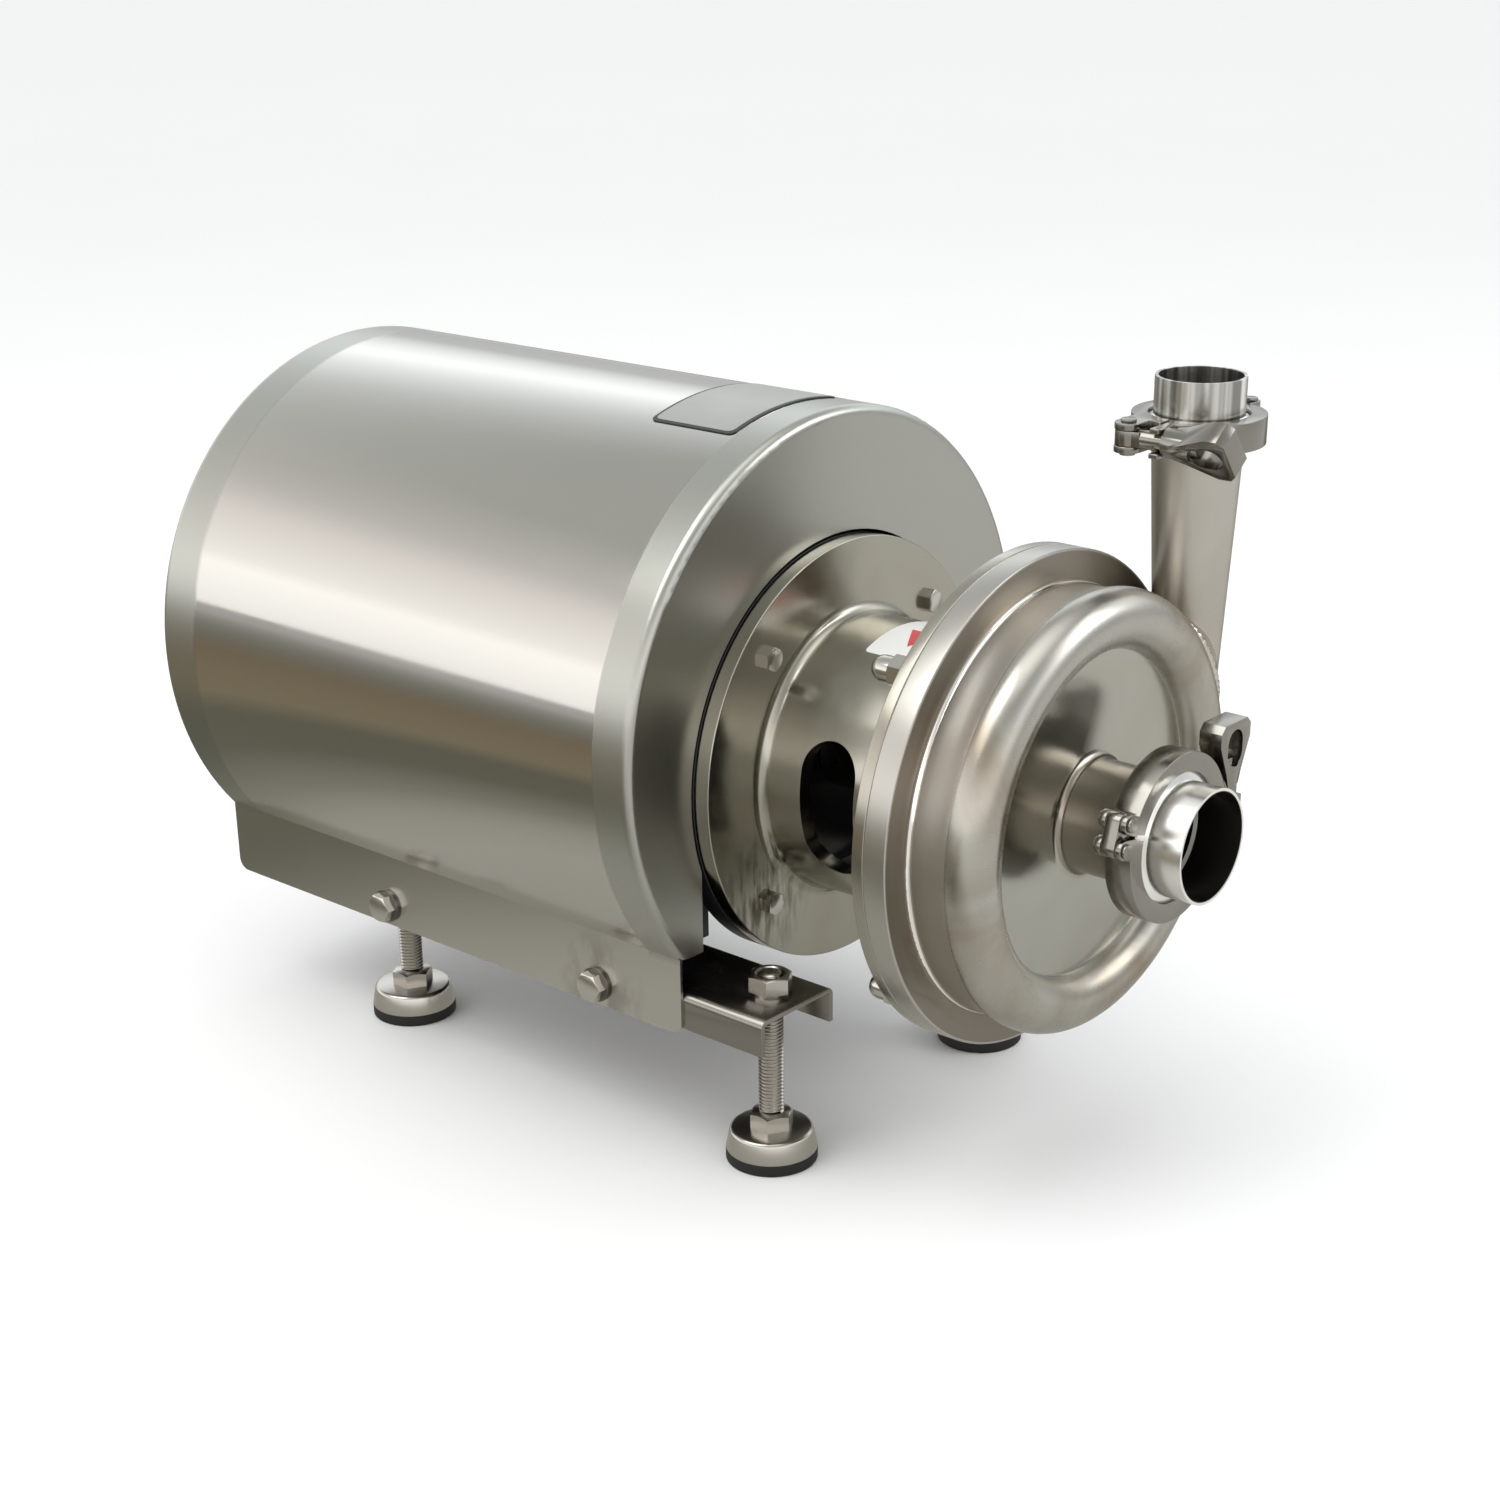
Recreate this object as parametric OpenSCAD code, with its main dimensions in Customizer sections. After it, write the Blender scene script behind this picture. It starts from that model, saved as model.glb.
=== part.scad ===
// Sanitary centrifugal pump: a flanged motor under a sheet shroud on two rails with levelling feet,
// a lantern, a volute casing with a conical discharge, and a clamped tube end at each port.
// Modules are written with x = 0 at the joint of motor and lantern, +X towards the inlet
// and z = 0 on the floor.

/* [Motor] */
// Height of the shaft above the motor's feet
shaft_height = 90; // [88:0.5:98]
// Diameter of the mounting flange
flange_d = 200; // [190:1:206]
// Thickness of the motor's flange
motor_flange_t = 12; // [9:0.5:16]
// Bolt circle of the mounting flange
flange_pcd = 165; // [158:1:172]
// Diameter of the spigot that centres the lantern
spigot_d = 130; // [124:1:134]
// Height of that spigot
spigot_h = 3.5; // [2.5:0.5:4]
// Diameter of the shaft end
shaft_d = 24; // [20:1:26]
// Length of the shaft end
shaft_end = 50; // [40:1:54]
// Outer diameter of the frame's tube, under the fins
frame_d = 152; // [146:1:154]
// Length of the finned frame
frame_len = 190; // [180:1:200]
// Height of the fins
fin_h = 11; // [8:0.5:12]
// Thickness of a fin
fin_t = 3; // [2:0.5:4]
// Distance between the foot holes across the motor
foot_gauge = 140; // [136:1:144]
// Distance from the flange to the first foot hole
foot_first = 56; // [52:1:60]
// Distance between the foot holes along the motor
foot_pitch = 100; // [90:1:108]

/* [Shroud] */
// Radius of the shroud
shroud_r = 141.5; // [138:0.5:146]
// Length of the shroud
shroud_len = 322; // [310:1:340]
// Height of the shroud's centre above the shaft
shroud_lift = 16.6; // [14:0.1:20]
// Sheet thickness
sheet_t = 1.5; // [1:0.1:2]
// Rounding of the front and rear edges
shroud_edge = 4.3; // [3:0.1:6]
// Half the width over the flat skirts
skirt_y = 109.6; // [108:0.2:112]
// How far the skirts reach below the rails
skirt_drop = 3; // [1:0.5:5]
// Rounding of the skirts' lower corners
skirt_corner = 6; // [3:0.5:9]
// Half the width of the slot under the front hole
front_slot_y = 95.5; // [93:0.5:98]
// Gap between the motor's flange and the front hole
front_gap = 1.5; // [1:0.5:5]

/* [Rails and feet] */
// Height of the rails' top above the floor
rail_top = 83.4; // [76:0.2:90]
// Width of a rail
rail_w = 50; // [48:0.5:52]
// Height of a rail
rail_h = 17.2; // [16:0.2:24]
// Thickness of a rail
rail_t = 2.5; // [2:0.1:3]
// Outer bend radius of a rail
rail_bend = 4; // [3:0.5:6]
// Front end of the rails
rail_front = 45; // [42:0.5:60]
// Rear end of the rails
rail_rear = 235; // [232:1:260]
// Distance of the front feet in front of the flange joint
foot_front = 27.7; // [25:0.1:30]
// Distance of the rear feet behind the flange joint
foot_rear = 217.8; // [214:0.2:220]
// Distance of the feet from the middle
foot_y = 81.5; // [80:0.5:84]
// Diameter of a foot's stud
stud_d = 11.8; // [10:0.1:12]
// Diameter of a foot's pad
pad_d = 42.6; // [38:0.2:48]
// Height of the rubber pad
pad_h = 5.5; // [4:0.5:8]
// Height of the steel cap
cap_h = 11; // [9:0.5:13]
// Distance of the skirt bolts from the flange joint
skirt_bolt_x = [54.4, 199.9];

/* [Lantern] */
// Distance from the flange joint to the seam with the casing
lantern_len = 104; // [102:0.5:112]
// Thickness of the lantern's motor flange
lantern_flange_t = 8.5; // [7:0.5:11]
// Thickness of the lantern's pump flange
pump_flange_t = 6; // [5:0.5:8]
// Outer diameter of the neck
neck_d = 130; // [126:1:134]
// Wall of the neck
neck_wall = 8; // [6:0.5:9]
// Fillet at the ends of the neck
neck_fillet = 6; // [4:0.5:11]
// Rounding of the flanges' rims
rim_round = 0.6; // [0.3:0.1:1]
// Width of the windows along the shaft
window_w = 30; // [26:1:34]
// Height of the windows
window_h = 63; // [50:1:70]
// How far the windows' middle lies below the shaft
window_drop = 3.5; // [0:0.5:6]
// Distance of the windows' middle from the flange joint
window_x = 46.5; // [42:0.5:54]

/* [Casing] */
// Diameter of the casing's flange
casing_d = 223.4; // [222:0.2:228]
// Thickness of the casing's flange
casing_flange_t = 11.4; // [10:0.2:13]
// Diameter of the drum behind the round ring
drum_d = 193.6; // [192:0.2:195]
// Wall of the casing
casing_wall = 2.2; // [1.8:0.1:2.4]
// Distance from the seam to the middle of the round ring
ring_x = 35.5; // [34:0.5:38]
// Radius of the round ring's middle line
ring_r = 86; // [85.5:0.1:86.5]
// Radius of the round ring's section
ring_section = 13.3; // [12.8:0.1:13.6]
// Distance from the seam to the recessed front
front_x = 36.8; // [35.5:0.1:38]
// Bolt circle of the casing's studs
stud_pcd = 206; // [204:0.5:208]

/* [Ports] */
// Diameter of the inlet's tube
inlet_tube_d = 50.8; // [48:0.2:52]
// Diameter of the inlet's ferrules
inlet_rim_d = 64; // [62:0.5:66]
// Outer diameter of the inlet's clamp
inlet_clamp_d = 75; // [74:0.5:80]
// Distance from the flange joint to the inlet's mouth
inlet_reach = 202.2; // [196:0.2:212]
// Diameter of the outlet's tube
outlet_tube_d = 40; // [37:0.2:42]
// Diameter of the outlet's ferrules
outlet_rim_d = 50.5; // [49:0.5:52]
// Outer diameter of the outlet's clamp
outlet_clamp_d = 59; // [59:0.5:64]
// Height of the outlet's mouth above the floor
outlet_top = 349.5; // [340:0.5:366]
// Distance of the outlet in front of the flange joint
outlet_x = 133; // [132:0.2:136]
// Length of a ferrule with its tube end
ferrule_len = 21.5; // [19:0.5:26]
// Wall of the tubes
tube_wall = 1.5; // [1.2:0.1:2]
// Thickness of a port's gasket
gasket_t = 2; // [1.5:0.1:2.5]
// Width of a clamp
clamp_w = 13; // [12:0.5:15]
// Diameter of a swing bolt
swing_d = 8; // [6:0.5:8]
// Span of a wing nut
wing_span = 24; // [22:1:33]
// Length of a wing nut
wing_len = 33; // [30:1:36]

/* [Impeller] */
// Diameter of the impeller
impeller_d = 140; // [120:1:144]
// Number of blades
blades = 6; // [4:1:8]
// Thickness of a blade
blade_t = 3; // [2:0.5:4]

/* [Hidden] */
$fn = 96;

// Finishes
satin = "#c4c2bc";
polished = "#dcdcd8";
black_paint = "#1c1d1f";
rubber_black = "#161616";
dark_steel = "#8d8b86";
copper = "#a8683c";
white_seal = "#e6e4dc";

// Clearances
fit = 0.05;      // pin in hole, shaft in bearing
slip = 0.1;      // pieces that seat in each other
run = 0.3;       // pieces that pass each other
past = 1;        // how far a cut runs past the face it opens

// Heights and lines that several pieces share
axis_h = rail_top + shaft_height;
shroud_h = axis_h + shroud_lift;
bend_z = shroud_h - sqrt(shroud_r * shroud_r - skirt_y * skirt_y);
skirt_in = skirt_y - sheet_t;
skirt_lap = sheet_t / 5;
rail_mid = skirt_in - rail_w / 2;
rail_bottom = rail_top - rail_h;
skirt_bottom = rail_bottom - skirt_drop;
skirt_bolt_z = rail_bottom + (rail_h - rail_t) / 2;
shift_x = (shroud_len - inlet_reach) / 2;
flange_r = flange_d / 2;
shaft_r = shaft_d / 2;
frame_r = frame_d / 2;
fin_r = frame_r + fin_h;

// Motor inside
shield_t = 8;
bearing_r = 26;
bearing_w = 15;
journal_r = shaft_r + 0.5;
core_shaft_r = shaft_r + 2;
fan_shaft_r = shaft_r - 2;
bearing_wall = 4;
frame_wall = 6;
frame_front = -motor_flange_t - shield_t;
frame_rear = frame_front - frame_len;
rear_shield_t = bearing_w + 2;
shield_end = frame_rear - rear_shield_t;
stator_len = 110;
stator_inset = 40;
stator_front = frame_front - stator_inset;
rotor_r = 50;
air_gap = 0.5;
winding_len = 18;
fan_gap = 6;
fan_w = 17;
fan_in = 14;
fan_r = fin_r - fan_in;
fan_end = shield_end - fan_gap - fan_w;
cowl_r = fin_r - 1;
cowl_t = 1.4;
cowl_room = 13;
cowl_end = fan_end - cowl_room;
box_floor = fin_r + 3;
lid_t = 8;
lid_over = 2;
lid_gap = 11.5;
box_w = 84;
// The lid's edge keeps its gap under the shroud
lid_top = shroud_lift - lid_gap
    + sqrt(pow(shroud_r - sheet_t, 2) - pow(box_w / 2 + lid_over, 2));
box_size = [100, box_w, lid_top - lid_t - box_floor];
box_inset = 35;
box_neck_in = [10, 14];
box_x = frame_front - box_inset - box_size[0] / 2;
motor_foot_t = 11;
motor_foot_w = 36;
motor_foot_over = 20;

// Casing, measured along the shaft
seam_x = lantern_len;
casing_r = casing_d / 2;
casing_front = seam_x + casing_flange_t;
drum_r = drum_d / 2;
ring_mid = seam_x + ring_x;
disc_x = seam_x + front_x;
cavity_r = drum_r - casing_wall;
root_fillet = 2.5;
valley_r = 40;
valley_x = ring_mid - sqrt(pow(ring_section + valley_r, 2) - pow(drum_r + valley_r - ring_r, 2));
inlet_fillet = 4;
inlet_r = inlet_tube_d / 2;
outlet_r = outlet_tube_d / 2;
inlet_face = inlet_reach - ferrule_len - gasket_t;
inlet_mid = inlet_face + gasket_t / 2;
outlet_face = outlet_top - ferrule_len - gasket_t;
outlet_mid = outlet_face + gasket_t / 2;
outlet_y = ring_r;
throat_r = ring_section - 0.6;
outlet_neck = 10;
stud_r = 4;
stud_deep = 8;
back_flange_t = 2.5;
back_flange_r = cavity_r + 3.4;
back_plate_t = 6;
seal_w = 2.5;
seal_groove_r = cavity_r + 2.5;

// Shaft end, seal and impeller, measured along the shaft
sleeve_r = shaft_r + 6;
sleeve_front = 5;
sleeve_end = shaft_end + 4;
seat_r = shaft_r + 5;
seat_front = seam_x + back_plate_t + 2;
seal_front = seat_front + run + 4.5;
spring_front = seal_front + 4;
impeller_disc_t = 3;
impeller_front = disc_x - casing_wall - 1.5;
hub_r = 17;
hub_front = impeller_front - 4;
hub_bore_r = shaft_r - 3;
nut_bore_r = hub_bore_r - 1;
impeller_nut_len = 14;
nut_hex_len = 10;
nut_bore_len = 8;

// Fasteners: across flats and height of a hexagon, by thread
m6_flats = 10;
m6_head = 4;
m6_r = 3;
m8_flats = 13;
m8_head = 5.3;
m8_nut = 6.5;
m12_flats = 18;
m12_nut = 10;
m8_r = 4;
washer_r = 8.5;
washer_t = 1.6;

// Clamps: tube, ferrule and clamp diameter, and the angle by which the hinge lies past the middle
INLET = [inlet_tube_d, inlet_rim_d, inlet_clamp_d, 17];
OUTLET = [outlet_tube_d, outlet_rim_d, outlet_clamp_d, 0];
rim_t = 2.85;
ferrule_angle = 20;
lip_depth = 3;
split_gap = 1.2;
swing_r = swing_d / 2;
wing_barrel_r = swing_r + 2.4;
bolt_gap = wing_barrel_r + 0.2;
pivot_drop = 13;
pivot_r = 2.5;
lug_r = 6;
lug_t = 6.5;
fork_half = 3.5;
hinge_pin_r = 2.2;
hinge_ear_r = 4.3;
hinge_step = 5.5;
hinge_off = 5;
pin_head_t = 1.4;
root_in = 2.5;
wing_t = 11;
barrel_len = 14;
inlet_nut_turn = 0;
outlet_nut_turn = -52;

// Distance of a clamp's swing bolt from the middle of its port
function bolt_off(port) = port[2] / 2 + bolt_gap;
function hinge_angle(port) = 180 - port[3];
function hinge_pin_ring(port) = port[2] / 2 + hinge_off;
function hinge_pin_angle(port, side) = hinge_angle(port) - side * asin(hinge_step / hinge_pin_ring(port));

// Places

module placed() translate([shift_x, 0, 0]) children();
module along_shaft(x = 0) translate([x, 0, axis_h]) rotate([0, 90, 0]) children();
// A section drawn as (radius, distance along the shaft), turned about the shaft
module turned() along_shaft() rotate_extrude() children();
module both_sides() {
    children();
    mirror([0, 1, 0]) children();
}
// Four places at 45 degrees round the shaft
module on_square_circle(pcd, x) along_shaft(x) for (i = [0:3]) rotate([0, 0, 45 + 90 * i])
    translate([pcd / 2, 0, 0]) children();
module at_feet() for (x = [foot_front, -foot_rear], side = [-1, 1])
    translate([x, side * foot_y, 0]) children();
module at_motor_feet() for (x = [0, foot_pitch], side = [-1, 1])
    translate([-foot_first - x, side * foot_gauge / 2, rail_top]) children();
// Bolt places on the skirts, with +Z pointing out of the skirt
module at_skirt_bolts() for (x = skirt_bolt_x, side = [-1, 1])
    translate([-x, side * skirt_y, skirt_bolt_z]) rotate([-90 * side, 0, 0]) children();
// A clamp's own frame: port along Z, swing bolt on the +X side and pointing along +Y
module at_inlet() translate([inlet_mid, 0, axis_h]) rotate(120, [1, 1, 1]) children();
module at_outlet() translate([outlet_x, outlet_y, outlet_mid]) rotate([0, 0, -90]) children();

// Shared shapes

module hex(flats, h) cylinder(d = flats / cos(30), h = h, $fn = 6);
module tube(r, bore, h) difference() {
    cylinder(r = r, h = h);
    translate([0, 0, -past]) cylinder(r = bore, h = h + 2 * past);
}
// Section of a solid or hollow drum from x0 to x1
module drum2d(r, x0, x1, bore = 0) translate([bore, x0]) square([r - bore, x1 - x0]);
// The same with both corners of its rim rounded
module rimmed2d(r, x0, x1) {
    drum2d(r - rim_round, x0, x1);
    drum2d(r, x0 + rim_round, x1 - rim_round);
    for (x = [x0 + rim_round, x1 - rim_round]) translate([r - rim_round, x]) circle(rim_round);
}
// Concave fillet in the corner at (r, x), towards sr in radius and sx along the shaft
module fillet2d(r, x, size, sr, sx) translate([r, x]) scale([sr, sx]) difference() {
    square(size);
    translate([size, size]) circle(size);
}
module slot2d(w, l) {
    square([w, l - w], center = true);
    for (s = [-1, 1]) translate([0, s * (l - w) / 2]) circle(d = w);
}
module round_box(size, r) linear_extrude(size[2]) {
    square([size[0], size[1] - 2 * r], center = true);
    square([size[0] - 2 * r, size[1]], center = true);
    for (sx = [-1, 1], sy = [-1, 1]) translate([sx * (size[0] / 2 - r), sy * (size[1] / 2 - r)]) circle(r);
}

// Rails, feet and their fasteners

module rail_section() difference() {
    union() {
        translate([-rail_w / 2, 0]) square([rail_w, rail_h - rail_bend]);
        translate([-rail_w / 2 + rail_bend, 0]) square([rail_w - 2 * rail_bend, rail_h]);
        for (s = [-1, 1]) translate([s * (rail_w / 2 - rail_bend), rail_h - rail_bend]) circle(rail_bend);
    }
    translate([-rail_w / 2 + rail_t, -past])
        square([rail_w - 2 * rail_t, rail_h - rail_bend + past]);
    translate([-rail_w / 2 + rail_bend, -past]) square([rail_w - 2 * rail_bend, rail_h - rail_t + past]);
    for (s = [-1, 1]) translate([s * (rail_w / 2 - rail_bend), rail_h - rail_bend])
        circle(rail_bend - rail_t);
}
module rail(side) difference() {
    translate([-rail_rear, side * rail_mid, rail_bottom]) rotate([90, 0, 90])
        linear_extrude(rail_rear + rail_front) rail_section();
    at_feet() cylinder(d = stud_d + 1, h = rail_top + past);
    at_motor_feet() translate([0, 0, -rail_h / 2]) cylinder(r = m8_r + 0.5, h = rail_h);
    at_skirt_bolts() translate([0, 0, -rail_h]) cylinder(r = m8_r + 0.3, h = rail_h);
}
module left_rail() color(satin) placed() rail(1);
module right_rail() color(satin) placed() rail(-1);
module rail_nuts() color(polished) placed() at_feet() translate([0, 0, rail_top]) difference() {
    union() {
        cylinder(d = m12_flats - 1, h = m12_nut);
        translate([0, 0, 2]) hex(m12_flats, m12_nut - 2.6);
    }
    translate([0, 0, -past]) cylinder(d = stud_d + 2 * fit, h = m12_nut + 2 * past);
}
hex_h = 7.5;
cap_top_r = pad_d / 2 - 1.9;
cap_round = 1.5;
module foot_section() {
    cap_base = pad_h;
    difference() {
        union() {
            polygon([[0, cap_base], [pad_d / 2, cap_base], [cap_top_r, cap_base + cap_h - cap_round],
                [cap_top_r - cap_round, cap_base + cap_h], [0, cap_base + cap_h]]);
            translate([cap_top_r - cap_round, cap_base + cap_h - cap_round]) circle(cap_round);
        }
        translate([0, cap_base - past]) square([pad_d / 2 - 2.5, past + cap_h / 2]);
    }
}
module foot(x, y) color(polished) placed() translate([x, y, 0]) {
    rotate_extrude() foot_section();
    translate([0, 0, pad_h + cap_h]) hex(m12_flats, hex_h);
    translate([0, 0, pad_h + cap_h]) cylinder(d = stud_d, h = rail_top + m12_nut - pad_h - cap_h);
}
module pad(x, y) color(rubber_black) placed() translate([x, y, 0]) {
    cylinder(d = pad_d, h = pad_h);
    cylinder(d = pad_d - 5.4, h = pad_h + cap_h / 2);
}
module front_left_foot() foot(foot_front, foot_y);
module front_left_pad() pad(foot_front, foot_y);
module front_right_foot() foot(foot_front, -foot_y);
module front_right_pad() pad(foot_front, -foot_y);
module rear_left_foot() foot(-foot_rear, foot_y);
module rear_left_pad() pad(-foot_rear, foot_y);
module rear_right_foot() foot(-foot_rear, -foot_y);
module rear_right_pad() pad(-foot_rear, -foot_y);

// Shroud

// Section of the shroud, grown inwards by t
module shroud_section(t) {
    e = shroud_edge - t;
    drum2d(shroud_r - t, -shroud_len + shroud_edge, -shroud_edge);
    drum2d(shroud_r - shroud_edge, -shroud_len + t, -t);
    for (x = [-shroud_len + shroud_edge, -shroud_edge]) translate([shroud_r - shroud_edge, x]) circle(e);
}
module below_bend() translate([-shroud_len - past, -shroud_r - past, bend_z - 2 * shroud_r])
    cube([shroud_len + 2 * past, 2 * (shroud_r + past), 2 * shroud_r]);
// Side view of a skirt, which reaches a little way up into the curved sheet
module skirt2d() {
    length = shroud_len - shroud_edge - sheet_t;
    top = bend_z + skirt_lap - skirt_bottom;
    translate([-shroud_len + shroud_edge, skirt_bottom]) {
        translate([0, skirt_corner]) square([length, top - skirt_corner]);
        translate([skirt_corner, 0]) square([length - 2 * skirt_corner, top]);
        for (x = [skirt_corner, length - skirt_corner]) translate([x, skirt_corner]) circle(skirt_corner);
    }
}
module skirt() translate([0, skirt_y, 0]) rotate([90, 0, 0]) linear_extrude(sheet_t) skirt2d();
module front_hole() {
    along_shaft(-2 * shroud_edge) cylinder(r = flange_r + front_gap, h = 4 * shroud_edge);
    translate([-2 * shroud_edge, -front_slot_y, bend_z - past])
        cube([4 * shroud_edge, 2 * front_slot_y, axis_h - bend_z]);
}
module shroud_shell() color(satin) placed() difference() {
    union() {
        difference() {
            translate([0, 0, shroud_lift]) turned() difference() {
                shroud_section(0);
                shroud_section(sheet_t);
                drum2d(shroud_r - shroud_edge, -shroud_len - past, -shroud_len + shroud_edge);
            }
            below_bend();
            front_hole();
        }
        both_sides() skirt();
    }
    at_skirt_bolts() translate([0, 0, -2 * sheet_t]) cylinder(r = m8_r + 0.3, h = 4 * sheet_t);
}
vent_pitch = 14;
vent_w = 6;
vent_l = 56;
vent_columns = 11;
vent_margin = 11;
module shroud_rear_plate() color(satin) placed() difference() {
    translate([0, 0, shroud_lift]) turned()
        drum2d(shroud_r - shroud_edge, -shroud_len, -shroud_len + sheet_t);
    below_bend();
    translate([-shroud_len - past, 0, bend_z + vent_margin + vent_l / 2]) rotate([90, 0, 90])
        linear_extrude(sheet_t + 2 * past) for (i = [0:vent_columns - 1], row = [0, 1])
            translate([(i - (vent_columns - 1) / 2) * vent_pitch, row * (vent_l + 2 * vent_w)])
                slot2d(vent_w, vent_l);
}
module skirt_bolts() color(polished) placed() at_skirt_bolts() {
    translate([0, 0, washer_t]) hex(m8_flats, m8_head);
    translate([0, 0, -rail_t - sheet_t - m8_nut])
        cylinder(r = m8_r, h = rail_t + sheet_t + m8_nut + washer_t);
}
module skirt_washers() color(polished) placed() at_skirt_bolts() tube(washer_r, m8_r + fit, washer_t);

// Motor

module motor_foot() {
    block = [foot_pitch + 2 * motor_foot_over, motor_foot_w, motor_foot_t];
    inner = foot_gauge / 2 - motor_foot_w / 2;
    translate([-foot_first - foot_pitch - motor_foot_over, inner, rail_top]) {
        cube(block);
        cube([block[0], 9, shaft_height - sqrt(frame_r * frame_r - inner * inner) + frame_wall]);
    }
}
fin_count = 36;
// Fins are left off under the terminal box and where the feet join
function has_fin(a) = abs(a - 180) > 32 && (a < 30 || a > 330 || abs(a - 180) < 125);
module motor_frame() color(black_paint) placed() difference() {
    union() {
        along_shaft(frame_rear) cylinder(r = frame_r, h = frame_len);
        along_shaft(frame_rear) for (i = [0:fin_count - 1]) if (has_fin(i * 360 / fin_count))
            rotate([0, 0, i * 360 / fin_count]) translate([frame_r - 2, -fin_t / 2, 0])
                cube([fin_h + 2, fin_t, frame_len]);
        both_sides() motor_foot();
        translate([box_x, 0, axis_h + frame_r / 2])
            round_box([box_size[0] - box_neck_in[0], box_size[1] - box_neck_in[1],
                box_floor - frame_r / 2], 6);
    }
    along_shaft(frame_rear - past) cylinder(r = frame_r - frame_wall, h = frame_len + 2 * past);
    at_motor_feet() translate([0, 0, -past]) cylinder(r = m8_r + 0.5, h = motor_foot_t + 2 * past);
}
module motor_flange() color(black_paint) placed() difference() {
    turned() difference() {
        union() {
            rimmed2d(flange_r, -motor_flange_t, 0);
            drum2d(spigot_d / 2, -motor_flange_t, spigot_h);
            drum2d(fin_r, frame_front, -motor_flange_t);
        }
        drum2d(bearing_r + fit, frame_front - past, -bearing_wall);
        drum2d(core_shaft_r, -bearing_wall - past, spigot_h + past);
        drum2d(spigot_d / 2 - 8, 0, spigot_h + past);
    }
    on_square_circle(flange_pcd, -motor_flange_t - past)
        cylinder(r = m6_r + fit, h = motor_flange_t + 2 * past);
}
module motor_rear_shield() color(black_paint) placed() turned() difference() {
    union() {
        drum2d(frame_r, frame_rear - 4, frame_rear);
        drum2d(cowl_r - cowl_t - slip, shield_end, frame_rear - 4);
    }
    drum2d(bearing_r + fit, frame_rear - bearing_w, frame_rear + past);
    drum2d(core_shaft_r, shield_end - past, frame_rear);
}
module stator() color(copper) placed() turned() difference() {
    union() {
        drum2d(frame_r - frame_wall - fit, stator_front - stator_len, stator_front);
        drum2d(frame_r - frame_wall - 6, stator_front - stator_len - winding_len, stator_front + winding_len);
    }
    drum2d(rotor_r + air_gap, stator_front - stator_len - past, stator_front + past);
    for (x = [stator_front, stator_front - stator_len - winding_len - past])
        drum2d(rotor_r + 4, x, x + winding_len + past);
}
cowl_slots = 24;
module fan_cowl() color(black_paint) placed() difference() {
    turned() {
        drum2d(cowl_r, cowl_end, frame_rear - 6, cowl_r - cowl_t);
        drum2d(cowl_r, cowl_end, cowl_end + cowl_t);
    }
    along_shaft(cowl_end - past) linear_extrude(cowl_t + 2 * past) for (i = [0:cowl_slots - 1])
        rotate(i * 360 / cowl_slots) translate([0, cowl_r * 0.62]) slot2d(6, cowl_r * 0.5);
}
module terminal_box() color(black_paint) placed() translate([box_x, 0, axis_h + box_floor]) difference() {
    round_box(box_size, 8);
    translate([0, 0, 4]) round_box([box_size[0] - 8, box_size[1] - 8, box_size[2]], 4);
}
module terminal_lid() color(black_paint) placed() translate([box_x, 0, axis_h + box_floor + box_size[2]])
    round_box([box_size[0] + 2 * lid_over, box_size[1] + 2 * lid_over, lid_t], 9);
gland_r = 12;
gland_len = 18;
gland_nut = 6;
gland_cap = 5;
gland_wall = 4;
module cable_gland() color(rubber_black) placed()
    translate([box_x - box_size[0] / 2, 0, axis_h + box_floor + box_size[2] / 2]) rotate([0, -90, 0])
    difference() {
        union() {
            hex(2 * gland_r, gland_nut);
            cylinder(r = gland_r - 1, h = gland_len);
            translate([0, 0, gland_len])
                cylinder(r1 = gland_r - 1, r2 = gland_r - 1 - gland_wall, h = gland_cap);
        }
        translate([0, 0, gland_wall]) cylinder(r = gland_r - 7, h = gland_len + gland_cap);
    }
module motor_foot_bolts() color(polished) placed() at_motor_feet() {
    translate([0, 0, motor_foot_t]) hex(m8_flats, m8_head);
    translate([0, 0, -rail_t - m8_nut - 2]) cylinder(r = m8_r, h = motor_foot_t + rail_t + m8_nut + 2);
    translate([0, 0, -rail_t - m8_nut]) difference() {
        hex(m8_flats, m8_nut);
        translate([0, 0, -past]) cylinder(r = m8_r + fit, h = m8_nut + 2 * past);
    }
}
module motor_bearings() color(polished) placed() turned()
    for (x = [-bearing_wall - bearing_w, frame_rear - bearing_w])
        drum2d(bearing_r, x, x + bearing_w, journal_r + fit);

// Lantern

module lantern() color(satin) placed() difference() {
    turned() difference() {
        union() {
            rimmed2d(flange_r, 0, lantern_flange_t);
            drum2d(neck_d / 2, 0, lantern_len);
            rimmed2d(casing_r, lantern_len - pump_flange_t, lantern_len);
            fillet2d(neck_d / 2, lantern_flange_t, neck_fillet, 1, 1);
            fillet2d(neck_d / 2, lantern_len - pump_flange_t, neck_fillet, 1, -1);
        }
        drum2d(neck_d / 2 - neck_wall, -past, lantern_len + past);
        drum2d(spigot_d / 2 + fit, -past, spigot_h + slip);
    }
    translate([window_x, 0, axis_h - window_drop]) rotate([90, 0, 0])
        linear_extrude(2 * neck_d, center = true) slot2d(window_w, window_h);
    on_square_circle(flange_pcd, -past) cylinder(r = m6_r + 0.5, h = lantern_flange_t + 2 * past);
    on_square_circle(stud_pcd, lantern_len - pump_flange_t - past)
        cylinder(r = stud_r + 0.2, h = pump_flange_t + 2 * past);
}
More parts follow.
